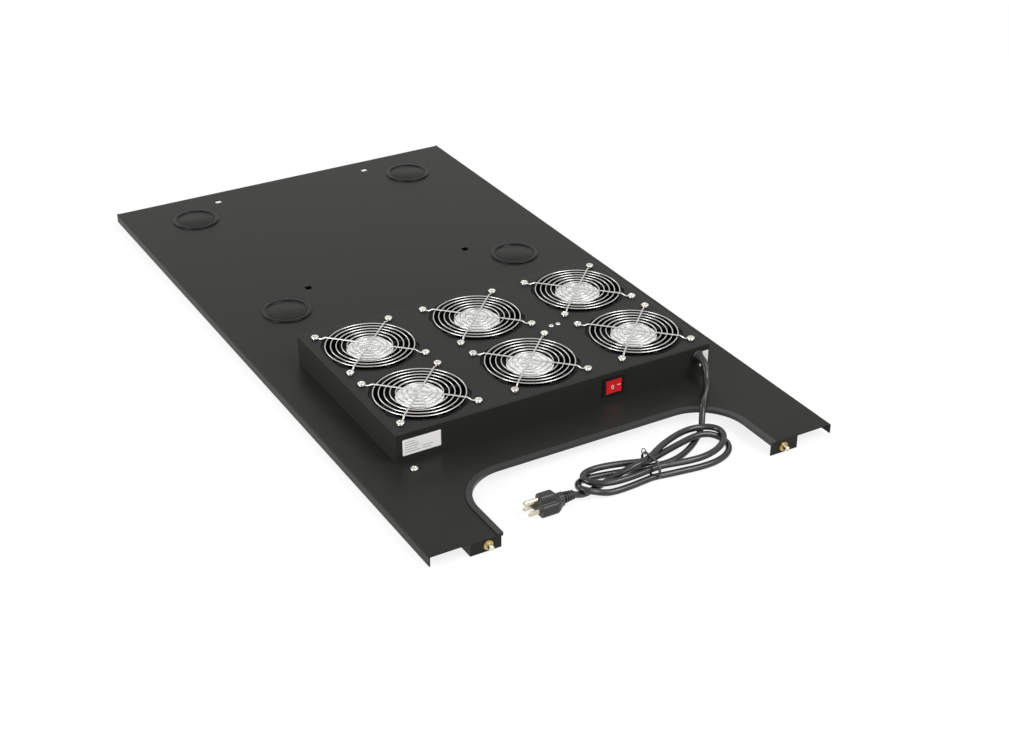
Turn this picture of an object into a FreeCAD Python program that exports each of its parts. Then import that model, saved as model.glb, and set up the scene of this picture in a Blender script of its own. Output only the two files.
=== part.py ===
import FreeCAD, Part
import math
import os
from types import SimpleNamespace

import Sketcher

os.makedirs("parts", exist_ok=True)

# Rack fan tray: a folded roof panel for a server cabinet with a six-fan extractor box on it.
# Frame: origin on the floor under the middle of the panel, +X right, +Y to the rear, +Z up, in mm.
# The front tabs and the rear tabs stand on the floor at Z = 0.

DRIVING_SIZES = {
    # roof panel, folded from sheet steel
    "panel_width": 554, "panel_length": 1026, "panel_sheet": 1.5, "bend_radius": 1.0,
    "flange_depth": 13.2, "tab_depth": 18.2, "tab_width": 39.5, "tab_outer_edge": 226,
    "tab_return_length": 45, "tab_return_gap": 0.5, "fold_relief": 0.5,
    "cable_cutout_width": 373, "cable_cutout_depth": 115.5, "cable_cutout_radius": 61.5,
    "air_opening_side": 14, "air_opening_end": 15, "air_opening_radius": 10,
    "cage_hole": 9.5, "cage_hole_spacing": 250.6, "cage_hole_pitch": 339.2, "cage_hole_inset": 204.1,
    # edge trim pushed on the cable cut-out
    "trim_wall": 1.5, "trim_leg": 6, "trim_play": 0.15, "trim_overhang": 1.2,
    # blanking plugs
    "plug_hole": 63.5, "plug_spacing": 360.2, "plug_pitch": 342.1, "plug_inset": 252.85,
    "plug_rim": 69, "plug_rim_height": 2.4, "plug_disc": 55.5, "plug_disc_height": 1.2,
    "plug_wall": 2, "plug_skirt": 5, "plug_play": 0.2, "plug_bead": 0.45, "plug_slit": 3,
    # fan box
    "box_width": 448, "box_length": 280, "box_height": 39.5, "box_sheet": 1.2, "box_inset": 182,
    "box_bend": 1.6, "box_foot_width": 24, "box_foot_depth": 13, "box_side_foot_width": 14,
    "fan_opening_play": 3.5, "fan_opening_cut": 2.2,
    # fans: the largest square that leaves these gaps and margins in the box
    "fan_side_margin": 9.1, "fan_end_margin": 12.15, "fan_column_gap": 36.4, "fan_row_gap": 17.7,
    "fan_depth": 38, "fan_wall": 2, "fan_flange": 5, "fan_corner": 5, "fan_hole_inset": 7,
    "fan_hole": 4.3,
    "motor_cup": 61, "motor_cup_depth": 4, "motor_recess": 2.1, "strut_width": 6, "strut_height": 5,
    "strut_seat": 0.8,
    "bearing_tube": 15, "bearing_tube_length": 24, "bearing_bore": 11, "bearing_width": 5,
    "shaft": 4, "shaft_play": 0.05, "bearing_spacing": 15, "bearing_start": 2,
    "stator": 46, "stator_height": 13, "stator_drop": 8, "stator_play": 0.1,
    "hub": 64, "hub_wall": 2.5, "hub_top": 9.5, "hub_height": 26.5,
    "blade_gap": 1.2, "blade_thickness": 2, "blade_height": 21, "blade_drop": 12.5,
    "blade_root_turn": 48, "blade_tip_turn": 62, "blade_count": 5,
    "motor_label": 59.5, "label_thickness": 0.3,
    # finger guards
    "guard_wire": 1.7, "guard_rib": 2.3, "guard_ring_inset": 2.65, "guard_ring_pitch": 13.95,
    "guard_ring_count": 7, "guard_lift": 3.05, "guard_eye": 4.1, "guard_crank_radius": 3,
    "guard_weld": 0.35,
    # fasteners: M4 for fans and box, M5 for the earth bond
    "screw_thread": 4, "screw_head": 8, "screw_head_height": 3.1, "screw_length": 12,
    "guard_screw_head": 10, "guard_screw_head_height": 2.8,
    "nut_flats": 7, "nut_height": 3.2, "screw_play": 0.15, "foot_screw_length": 8,
    "earth_thread": 5, "earth_head": 10, "earth_head_height": 3.6, "earth_length": 12,
    "earth_nut_flats": 8, "earth_nut_height": 4, "earth_inset": 13, "earth_ahead": 20,
    "rivet_head": 6.5, "rivet_head_height": 1.8, "rivet_shank": 4, "rivet_spacing": 10.2,
    # terminal block under the middle of the box
    "terminal_length": 30, "terminal_width": 14, "terminal_height": 18, "terminal_poles": 3,
    "terminal_entry": 4, "terminal_well": 5, "terminal_pitch": 9,
    # rocker switch
    "switch_width": 31.5, "switch_height": 25.5, "switch_rim": 2, "switch_cutout_width": 28.4,
    "switch_cutout_height": 22, "switch_depth": 24, "switch_play": 0.1, "switch_wall": 2,
    "rocker_width": 23.4, "rocker_height": 18.6, "rocker_gap": 0.35, "rocker_pivot_depth": 1.5,
    "rocker_tilt": 9, "rocker_radius": 12.4, "rocker_pin": 3, "rocker_pin_play": 0.05,
    "rocker_root": 8, "rocker_corner": 0.7, "terminal_blade_width": 6.3, "terminal_blade_thickness": 0.8,
    "terminal_blade_length": 9, "switch_centre_height": 19.6,
    # cord bushing, cord and moulded plug
    "bushing_inset": 20, "bushing_height": 45.8, "bushing_hole": 12.7, "bushing_flange": 16,
    "bushing_flange_thickness": 3, "bushing_neck": 12, "bushing_tip": 10.6, "bushing_reach": 7,
    "bushing_tail": 8, "bushing_play": 0.1,
    "cord_diameter": 8, "cord_seat": 0.05,
    "tie_width": 3, "tie_thickness": 1.2, "tie_gap": 0.3,
    # spring latches in the front tabs and fixed pins in the rear tabs
    "latch_side": 204, "latch_height": 9.1, "latch_bush": 10, "latch_flange": 12,
    "latch_flange_thickness": 2, "latch_bush_length": 22, "latch_bore": 8, "latch_nose": 6.5,
    "latch_nose_length": 8, "latch_guide": 7.2, "latch_collar_length": 3, "latch_play": 0.05,
    "latch_stem": 3.5, "latch_front_wall": 4, "latch_cap": 3, "latch_travel": 8,
    "latch_knob": 11, "latch_knob_length": 9, "latch_nut_flats": 13, "latch_nut_height": 4,
    "latch_nose_chamfer": 1, "spring_wire": 0.8, "spring_turns": 6, "spring_play": 0.3,
}

doc = FreeCAD.newDocument("rack_fan_tray")
sheet = doc.addObject("Spreadsheet::Sheet", "Sizes")
for row, (alias, number) in enumerate(DRIVING_SIZES.items(), start=1):
    sheet.set("A%d" % row, alias)
    sheet.set("B%d" % row, str(number))
    sheet.setAlias("B%d" % row, alias)
doc.recompute()


class Size:
    """A size that carries its number and the sheet formula that gives it."""

    def __init__(self, number, formula):
        self.number = float(number)
        self.formula = formula

    def _join(self, other, symbol, number):
        return Size(number, "(%s %s %s)" % (self.formula, symbol, formula_of(other)))

    def __add__(self, other):
        return self._join(other, "+", self.number + number_of(other))

    def __sub__(self, other):
        return self._join(other, "-", self.number - number_of(other))

    def __mul__(self, other):
        return self._join(other, "*", self.number * number_of(other))

    def __truediv__(self, other):
        return self._join(other, "/", self.number / number_of(other))

    def __neg__(self):
        return Size(-self.number, "(-1 * %s)" % self.formula)

    def __float__(self):
        return self.number


def number_of(size):
    return float(size)


def formula_of(size):
    return size.formula if isinstance(size, Size) else repr(float(size))


def smaller_of(one, other):
    """The smaller of two sizes, as a number and as a sheet formula."""
    return Size(min(number_of(one), number_of(other)),
                "min(%s; %s)" % (formula_of(one), formula_of(other)))


S = SimpleNamespace(**{name: Size(sheet.get(name), "Sizes." + name) for name in DRIVING_SIZES})

kept_parts = []


def bind(thing, path, size):
    """Ties one property of a document object to a size of the sheet."""
    if isinstance(size, Size):
        thing.setExpression(path, size.formula)


def keep(thing, label):
    """Gives a finished sub-part its name and lists it for export."""
    thing.Label = label
    kept_parts.append(thing)
    return thing


def new_body(label):
    body = doc.addObject("PartDesign::Body", label)
    return keep(body, label)


def place(thing, x=0, y=0, z=0):
    """Puts a sub-part at a point that the sheet drives."""
    thing.Placement = FreeCAD.Placement(
        FreeCAD.Vector(number_of(x), number_of(y), number_of(z)), thing.Placement.Rotation)
    for axis, size in zip("xyz", (x, y, z)):
        bind(thing, ".Placement.Base." + axis, size)


def sketch_on(body, role, name, lift=0):
    """A sketch on one of the body's own origin planes, lifted along that plane's normal."""
    plane = next(item for item in body.Origin.OriginFeatures if item.Role == role)
    drawing = body.newObject("Sketcher::SketchObject", name)
    drawing.AttachmentSupport = [(plane, "")]
    drawing.MapMode = "FlatFace"
    drawing.AttachmentOffset = FreeCAD.Placement(
        FreeCAD.Vector(0, 0, number_of(lift)), FreeCAD.Rotation())
    bind(drawing, ".AttachmentOffset.Base.z", lift)
    return drawing


def set_constraint(drawing, constraint, size):
    index = drawing.addConstraint(constraint)
    if isinstance(size, Size):
        drawing.setExpression("Constraints[%d]" % index, size.formula)


def pin_point(drawing, edge, end, x, y):
    """Holds one end of an edge at a distance from the sketch's origin."""
    set_constraint(drawing, Sketcher.Constraint("DistanceX", -1, 1, edge, end, number_of(x)), x)
    set_constraint(drawing, Sketcher.Constraint("DistanceY", -1, 1, edge, end, number_of(y)), y)


def draw_polygon(drawing, corners):
    """A closed outline of straight lines through corners that the sheet drives."""
    first = drawing.GeometryCount
    count = len(corners)
    spots = [FreeCAD.Vector(number_of(x), number_of(y), 0) for x, y in corners]
    for index in range(count):
        drawing.addGeometry(Part.LineSegment(spots[index], spots[(index + 1) % count]), False)
    for index in range(count):
        following = first + (index + 1) % count
        drawing.addConstraint(Sketcher.Constraint("Coincident", first + index, 2, following, 1))
    for index, (x, y) in enumerate(corners):
        pin_point(drawing, first + index, 1, x, y)


def draw_rectangle(drawing, x_low, y_low, x_high, y_high):
    draw_polygon(drawing, [(x_low, y_low), (x_high, y_low), (x_high, y_high), (x_low, y_high)])


def draw_circle(drawing, x, y, diameter):
    centre = FreeCAD.Vector(number_of(x), number_of(y), 0)
    edge = drawing.addGeometry(
        Part.Circle(centre, FreeCAD.Vector(0, 0, 1), number_of(diameter) / 2), False)
    pin_point(drawing, edge, 3, x, y)
    set_constraint(drawing, Sketcher.Constraint("Diameter", edge, number_of(diameter)), diameter)


def draw_flatted_circle(drawing, x, y, diameter, flats):
    """A circle cut off by two upright flats: two arcs and two lines."""
    radius = number_of(diameter) / 2
    reach = number_of(flats) / 2
    turn = math.acos(reach / radius)
    centre = FreeCAD.Vector(number_of(x), number_of(y), 0)
    circle = Part.Circle(centre, FreeCAD.Vector(0, 0, 1), radius)
    upper = drawing.addGeometry(Part.ArcOfCircle(circle, turn, math.pi - turn), False)
    lower = drawing.addGeometry(Part.ArcOfCircle(circle, math.pi + turn, 2 * math.pi - turn), False)
    rise = radius * math.sin(turn)
    corners = [centre + FreeCAD.Vector(side * reach, up * rise, 0)
               for side, up in ((-1, 1), (-1, -1), (1, -1), (1, 1))]
    left = drawing.addGeometry(Part.LineSegment(corners[0], corners[1]), False)
    right = drawing.addGeometry(Part.LineSegment(corners[2], corners[3]), False)
    for one, end, other, start in ((upper, 2, left, 1), (left, 2, lower, 1),
                                   (lower, 2, right, 1), (right, 2, upper, 1)):
        drawing.addConstraint(Sketcher.Constraint("Coincident", one, end, other, start))
    drawing.addConstraint(Sketcher.Constraint("Vertical", left))
    drawing.addConstraint(Sketcher.Constraint("Vertical", right))
    drawing.addConstraint(Sketcher.Constraint("Coincident", upper, 3, lower, 3))
    drawing.addConstraint(Sketcher.Constraint("Equal", upper, lower))
    pin_point(drawing, upper, 3, x, y)
    set_constraint(drawing, Sketcher.Constraint("Radius", upper, radius), diameter / 2)
    for edge, side in ((left, x - flats / 2), (right, x + flats / 2)):
        set_constraint(drawing, Sketcher.Constraint("DistanceX", -1, 1, edge, 1, number_of(side)), side)


def pad(body, drawing, name, length, both_ways=False, backwards=False):
    feature = body.newObject("PartDesign::Pad", name)
    feature.Profile = drawing
    feature.SideType = "Symmetric" if both_ways else "One side"
    feature.Reversed = backwards
    feature.Length = number_of(length)
    bind(feature, "Length", length)
    return feature


def pocket(body, drawing, name, length=None, backwards=False):
    """A pocket of a given depth, or through the whole body both ways."""
    doc.recompute()
    before = body.Shape.Volume
    feature = body.newObject("PartDesign::Pocket", name)
    feature.Profile = drawing
    if length is None:
        feature.Type = "ThroughAll"
        feature.SideType = "Symmetric"
    else:
        feature.Reversed = backwards
        feature.Length = number_of(length)
        bind(feature, "Length", length)
    doc.recompute()
    if feature.Shape.Volume > before - 0.001:
        raise RuntimeError("%s cuts nothing" % name)
    return feature


def revolve(body, drawing, name, axis="V_Axis"):
    feature = body.newObject("PartDesign::Revolution", name)
    feature.Profile = drawing
    feature.ReferenceAxis = (drawing, [axis])
    feature.Angle = 360
    return feature


def round_edges(body, name, radius, picked):
    """Rounds the edges of the body's last feature that the test picks."""
    doc.recompute()
    base = body.Tip
    names = ["Edge%d" % number for number, edge in enumerate(base.Shape.Edges, start=1)
             if picked(edge)]
    feature = body.newObject("PartDesign::Fillet", name)
    feature.Base = (base, names)
    feature.Radius = number_of(radius)
    bind(feature, "Radius", radius)
    return feature


def repeat_round(body, original, name, count, angle=360):
    """A polar pattern of a feature about the body's Z axis."""
    axis = next(item for item in body.Origin.OriginFeatures if item.Role == "Z_Axis")
    feature = body.newObject("PartDesign::PolarPattern", name)
    feature.Originals = [original]
    feature.Axis = (axis, [""])
    feature.Angle = angle
    feature.Occurrences = int(number_of(count))
    body.Tip = feature
    return feature


def mirror_across_middle(body, originals, name):
    """Repeats features on the other side of the body's YZ plane."""
    plane = next(item for item in body.Origin.OriginFeatures if item.Role == "YZ_Plane")
    feature = body.newObject("PartDesign::Mirrored", name)
    feature.Originals = originals
    feature.MirrorPlane = (plane, [""])
    body.Tip = feature
    return feature


def is_near(one, other):
    return abs(number_of(one) - number_of(other)) < 0.01


def runs_along(edge, axis):
    """True where a straight edge runs along the given row axis."""
    if not isinstance(edge.Curve, (Part.Line, Part.LineSegment)):
        return False
    span = edge.Vertexes[-1].Point - edge.Vertexes[0].Point
    return abs(abs(getattr(span, axis)) - edge.Length) < 1e-6


def copy_of(source, label, x, y, z, turn=0):
    """A further copy of a finished sub-part, in its own node."""
    thing = doc.addObject("Part::Feature", label)
    shape = source.Shape.copy()
    shape.Placement = FreeCAD.Placement()
    thing.Shape = shape
    thing.Placement = FreeCAD.Placement(
        FreeCAD.Vector(0, 0, 0), FreeCAD.Rotation(FreeCAD.Vector(0, 0, 1), turn))
    place(thing, x, y, z)
    return keep(thing, label)


def group_of(shape, label, spots):
    """One node that holds many separate copies of a small part."""
    copies = []
    for spot in spots:
        copy = shape.copy()
        copy.Placement = spot.multiply(shape.Placement)
        copies.append(copy)
    thing = doc.addObject("Part::Feature", label)
    thing.Shape = Part.makeCompound(copies)
    return keep(thing, label)


def spot_at(x, y, z, axis=(0, 0, 1), turn=0):
    """A placement at a point, turned about one axis."""
    return FreeCAD.Placement(
        FreeCAD.Vector(number_of(x), number_of(y), number_of(z)),
        FreeCAD.Rotation(FreeCAD.Vector(*axis), turn))


def solid_of_turning(points):
    """A full turn about Z of an outline given as radius and height pairs."""
    corners = [FreeCAD.Vector(number_of(r), 0, number_of(z)) for r, z in points]
    outline = Part.makePolygon(corners + corners[:1])
    return Part.Face(outline).revolve(FreeCAD.Vector(), FreeCAD.Vector(0, 0, 1), 360)


def bent_wire_path(points, radii):
    """Straight runs joined by tangent arcs, one radius for each inner point."""
    edges = []
    start = points[0]
    for before, corner, after, radius in zip(points, points[1:], points[2:], radii):
        back = (before - corner).normalize()
        ahead = (after - corner).normalize()
        half = (math.pi - back.getAngle(ahead)) / 2
        reach = radius * math.tan(half)
        middle = (back + ahead).normalize()
        entry = corner + back * reach
        leave = corner + ahead * reach
        crown = corner + middle * (radius / math.cos(half) - radius)
        edges.append(Part.LineSegment(start, entry).toShape())
        edges.append(Part.Arc(entry, crown, leave).toShape())
        start = leave
    edges.append(Part.LineSegment(start, points[-1]).toShape())
    return Part.Wire(edges)


def round_wire(path, diameter):
    """A round wire swept along a path, from its start point."""
    first = path.Edges[0]
    start = first.valueAt(first.FirstParameter)
    along = first.tangentAt(first.FirstParameter)
    section = Part.Wire(Part.makeCircle(number_of(diameter) / 2, start, along))
    return path.makePipeShell([section], True, False)


# Places that several sub-parts share.
panel_top = S.tab_depth
panel_under = S.tab_depth - S.panel_sheet
flange_foot = S.tab_depth - S.flange_depth
bend_outside = S.bend_radius + S.panel_sheet
front_edge = -(S.panel_length / 2)
rear_edge = S.panel_length / 2
cutout_back = front_edge + S.cable_cutout_depth
box_front = front_edge + S.box_inset
box_rear = box_front + S.box_length
box_middle = box_front + S.box_length / 2
box_top = panel_top + S.box_height
fan_top = box_top - S.box_sheet
fan_size = smaller_of((S.box_width - S.fan_side_margin * 2 - S.fan_column_gap * 2) / 3,
                      (S.box_length - S.fan_end_margin * 2 - S.fan_row_gap) / 2)
fan_bore = fan_size - S.fan_wall * 2
fan_columns = (S.box_width - S.fan_side_margin * 2 - fan_size) / 2
fan_rows = S.box_length - S.fan_end_margin * 2 - fan_size
fan_hole_spacing = fan_size - S.fan_hole_inset * 2
air_opening_width = S.box_width - S.air_opening_side * 2
air_opening_length = S.box_length - S.air_opening_end * 2
bushing_side = S.box_width / 2 - S.bushing_inset
fan_centres = {}
for row_name, row_side in (("front", -0.5), ("rear", 0.5)):
    for column_name, column_side in (("left", -1), ("centre", 0), ("right", 1)):
        fan_centres["%s_%s" % (row_name, column_name)] = (
            fan_columns * column_side, box_middle + fan_rows * row_side)
fan_screw_offsets = [(fan_hole_spacing * (a / 2), fan_hole_spacing * (b / 2))
                     for a, b in ((-1, -1), (1, -1), (1, 1), (-1, 1))]
cage_holes = [(S.cage_hole_spacing * side, rear_edge - S.cage_hole_inset + S.cage_hole_pitch * end)
              for side in (-0.5, 0.5) for end in (-0.5, 0.5)]
plug_places = {
    "%s_%s" % (end_name, side_name): (S.plug_spacing * side, rear_edge - S.plug_inset + S.plug_pitch * end)
    for end_name, end in (("front", -0.5), ("rear", 0.5))
    for side_name, side in (("left", -0.5), ("right", 0.5))}
screw_hole = S.screw_thread + S.screw_play * 2
foot_reach = S.box_foot_depth * 0.5 + S.box_sheet * 0.5
box_screw_places = [(fan_columns * side, box_middle + (S.box_length * 0.5 - foot_reach) * end)
                    for side in (-0.5, 0.5) for end in (-1, 1)]
box_screw_places += [((S.box_width * 0.5 - foot_reach) * side, box_middle) for side in (-1, 1)]
earth_place = (S.earth_inset - S.box_width / 2, box_front - S.earth_ahead)
tab_inner_edge = S.tab_outer_edge - S.tab_width
switch_centre = (fan_columns / 2, panel_top + S.switch_centre_height)


def roof_panel():
    """The folded steel panel: side and rear flanges, four tabs, and all its holes."""
    body = new_body("roof_panel")
    half = S.panel_width / 2
    section = sketch_on(body, "XZ_Plane", "channel_section")
    draw_polygon(section, [
        (-half, flange_foot), (-half, panel_top), (half, panel_top), (half, flange_foot),
        (half - S.panel_sheet, flange_foot), (half - S.panel_sheet, panel_under),
        (S.panel_sheet - half, panel_under), (S.panel_sheet - half, flange_foot)])
    pad(body, section, "channel", S.panel_length, both_ways=True)

    def along_flange(edge, x, z):
        middle = edge.BoundBox.Center
        return runs_along(edge, "y") and is_near(abs(middle.x), x) and is_near(middle.z, z)

    round_edges(body, "flange_bends", bend_outside,
                lambda edge: along_flange(edge, half, panel_top))
    round_edges(body, "flange_inner_bends", S.bend_radius,
                lambda edge: along_flange(edge, half - S.panel_sheet, panel_under))

    # The rear flange and the front tabs are folded from strips that end at relief notches.
    rear_half = half - bend_outside - S.fold_relief
    fold_start = bend_outside + S.fold_relief
    reliefs = sketch_on(body, "XY_Plane", "fold_reliefs")
    draw_rectangle(reliefs, -rear_half - S.fold_relief, rear_edge - fold_start,
                   rear_half + S.fold_relief, rear_edge + 1)
    for inner, outer in ((tab_inner_edge, S.tab_outer_edge), (-S.tab_outer_edge, -tab_inner_edge)):
        draw_rectangle(reliefs, inner - S.fold_relief, front_edge - 1,
                       outer + S.fold_relief, front_edge + fold_start)
    pocket(body, reliefs, "fold_relief_cuts")

    def fold_outline(drawing, edge, inwards, foot):
        """The L section of a fold down from the plate, seen from the side."""
        draw_polygon(drawing, [
            (edge + fold_start * inwards, panel_under), (edge + fold_start * inwards, panel_top),
            (edge, panel_top), (edge, foot), (edge + S.panel_sheet * inwards, foot),
            (edge + S.panel_sheet * inwards, panel_under)])

    rear = sketch_on(body, "YZ_Plane", "rear_flange_section")
    fold_outline(rear, rear_edge, -1, flange_foot)
    pad(body, rear, "rear_flange", rear_half * 2, both_ways=True)
    round_edges(body, "rear_bend", bend_outside, lambda edge: runs_along(edge, "x")
                and is_near(edge.BoundBox.Center.y, rear_edge)
                and is_near(edge.BoundBox.Center.z, panel_top)
                and edge.Length > number_of(rear_half))
    tab = sketch_on(body, "YZ_Plane", "front_tab_section", tab_inner_edge)
    fold_outline(tab, front_edge, 1, 0)
    front_tab = pad(body, tab, "front_tab", S.tab_width)
    mirror_across_middle(body, [front_tab], "front_tabs")
    round_edges(body, "front_bends", bend_outside, lambda edge: runs_along(edge, "x")
                and is_near(edge.BoundBox.Center.y, front_edge)
                and is_near(edge.BoundBox.Center.z, panel_top)
                and is_near(edge.Length, S.tab_width))
    rear_tabs = sketch_on(body, "XY_Plane", "rear_tab_outline")
    for inner, outer in ((tab_inner_edge, S.tab_outer_edge), (-S.tab_outer_edge, -tab_inner_edge)):
        draw_rectangle(rear_tabs, inner, rear_edge - S.panel_sheet, outer, rear_edge)
    pad(body, rear_tabs, "rear_tabs", flange_foot + S.panel_sheet)
    returns = sketch_on(body, "XY_Plane", "tab_return_outline")
    for low, high in ((S.tab_outer_edge - S.panel_sheet, S.tab_outer_edge),
                      (-S.tab_outer_edge, S.panel_sheet - S.tab_outer_edge)):
        draw_rectangle(returns, low, front_edge + S.panel_sheet / 2, high,
                       front_edge + S.tab_return_length)
        draw_rectangle(returns, low, rear_edge - S.tab_return_length, high,
                       rear_edge - S.panel_sheet / 2)
    pad(body, returns, "tab_returns", panel_under - S.tab_return_gap)

    cutout = sketch_on(body, "XY_Plane", "cable_cutout_outline")
    draw_rectangle(cutout, -(S.cable_cutout_width / 2), front_edge - 1,
                   S.cable_cutout_width / 2, cutout_back)
    pocket(body, cutout, "cable_cutout")
    round_edges(body, "cable_cutout_corners", S.cable_cutout_radius,
                lambda edge: runs_along(edge, "z") and is_near(edge.BoundBox.Center.y, cutout_back)
                and is_near(abs(edge.BoundBox.Center.x), S.cable_cutout_width / 2))
    opening = sketch_on(body, "XY_Plane", "air_opening_outline")
    draw_rectangle(opening, -(air_opening_width / 2), box_middle - air_opening_length / 2,
                   air_opening_width / 2, box_middle + air_opening_length / 2)
    pocket(body, opening, "air_opening")
    round_edges(body, "air_opening_corners", S.air_opening_radius,
                lambda edge: runs_along(edge, "z")
                and is_near(abs(edge.BoundBox.Center.x), air_opening_width / 2)
                and is_near(abs(edge.BoundBox.Center.y - number_of(box_middle)),
                            air_opening_length / 2))
    holes = sketch_on(body, "XY_Plane", "panel_holes")
    for x, y in cage_holes:
        draw_rectangle(holes, x - S.cage_hole / 2, y - S.cage_hole / 2,
                       x + S.cage_hole / 2, y + S.cage_hole / 2)
    for x, y in plug_places.values():
        draw_circle(holes, x, y, S.plug_hole)
    for x, y in box_screw_places:
        draw_circle(holes, x, y, screw_hole)
    draw_circle(holes, *earth_place, S.earth_thread + S.screw_play * 2)
    pocket(body, holes, "panel_hole_cuts")
    pin_holes = sketch_on(body, "XZ_Plane", "latch_holes")
    for side in (-1, 1):
        draw_circle(pin_holes, S.latch_side * side, S.latch_height, S.latch_bush + S.latch_play * 2)
    pocket(body, pin_holes, "latch_hole_cuts")
    return body


def fan_plate():
    """The top plate of the fan box, between its bends: six fan openings and their screw holes."""
    body = new_body("fan_plate")
    half = S.box_width / 2 - S.box_bend
    outline = sketch_on(body, "XY_Plane", "plate_outline", fan_top)
    draw_rectangle(outline, -half, box_front + S.box_bend, half, box_rear - S.box_bend)
    pad(body, outline, "plate", S.box_sheet)
    openings = sketch_on(body, "XY_Plane", "fan_opening_outlines", fan_top)
    for x, y in fan_centres.values():
        draw_flatted_circle(openings, x, y, fan_size + S.fan_opening_play * 2,
                            fan_size - S.fan_opening_cut * 2)
        for dx, dy in fan_screw_offsets:
            draw_circle(openings, x + dx, y + dy, screw_hole)
    for side in (-0.5, 0.5):
        draw_circle(openings, switch_centre[0] + S.rivet_spacing * side, box_middle, S.rivet_shank)
    pocket(body, openings, "fan_openings", S.box_sheet, backwards=True)
    return body


def fan_box():
    """The fan box's folded walls and top bends, its feet, and the switch and cord holes."""
    body = new_body("fan_box")
    half = S.box_width / 2
    outside = sketch_on(body, "XY_Plane", "box_outline", panel_top)
    draw_rectangle(outside, -half, box_front, half, box_rear)
    pad(body, outside, "box_block", S.box_height)

    def on_top_rim(edge):
        middle = edge.BoundBox.Center
        return is_near(middle.z, box_top) and (runs_along(edge, "x") or runs_along(edge, "y"))

    round_edges(body, "top_bends", S.box_bend, on_top_rim)
    inside = sketch_on(body, "XY_Plane", "box_inside", panel_top)
    draw_rectangle(inside, S.box_sheet - half, box_front + S.box_sheet,
                   half - S.box_sheet, box_rear - S.box_sheet)
    pocket(body, inside, "box_hollow", S.box_height - S.box_sheet, backwards=True)
    feet = sketch_on(body, "XY_Plane", "feet_outline", panel_top)
    for side in (-1, 1):
        middle = fan_columns * (side / 2)
        low, high = middle - S.box_foot_width / 2, middle + S.box_foot_width / 2
        draw_rectangle(feet, low, box_front + S.box_sheet / 2, high, box_front + S.box_foot_depth)
        draw_rectangle(feet, low, box_rear - S.box_foot_depth, high, box_rear - S.box_sheet / 2)
    foot_low = box_middle - S.box_side_foot_width / 2
    foot_high = box_middle + S.box_side_foot_width / 2
    draw_rectangle(feet, S.box_sheet / 2 - half, foot_low, S.box_foot_depth - half, foot_high)
    draw_rectangle(feet, half - S.box_foot_depth, foot_low, half - S.box_sheet / 2, foot_high)
    pad(body, feet, "feet", S.box_sheet)
    seat = sketch_on(body, "XY_Plane", "plate_seat_outline", fan_top)
    draw_rectangle(seat, S.box_bend - half, box_front + S.box_bend,
                   half - S.box_bend, box_rear - S.box_bend)
    pocket(body, seat, "plate_seat", S.box_sheet, backwards=True)
    foot_holes = sketch_on(body, "XY_Plane", "foot_holes", panel_top)
    for x, y in box_screw_places:
        draw_circle(foot_holes, x, y, screw_hole)
    pocket(body, foot_holes, "foot_hole_cuts", S.box_sheet, backwards=True)
    front_holes = sketch_on(body, "XZ_Plane", "front_holes", -box_front)
    draw_rectangle(front_holes, switch_centre[0] - S.switch_cutout_width / 2,
                   switch_centre[1] - S.switch_cutout_height / 2,
                   switch_centre[0] + S.switch_cutout_width / 2,
                   switch_centre[1] + S.switch_cutout_height / 2)
    draw_circle(front_holes, bushing_side, S.bushing_height, S.bushing_hole)
    pocket(body, front_holes, "front_hole_cuts", S.box_sheet)
    return body


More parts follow.
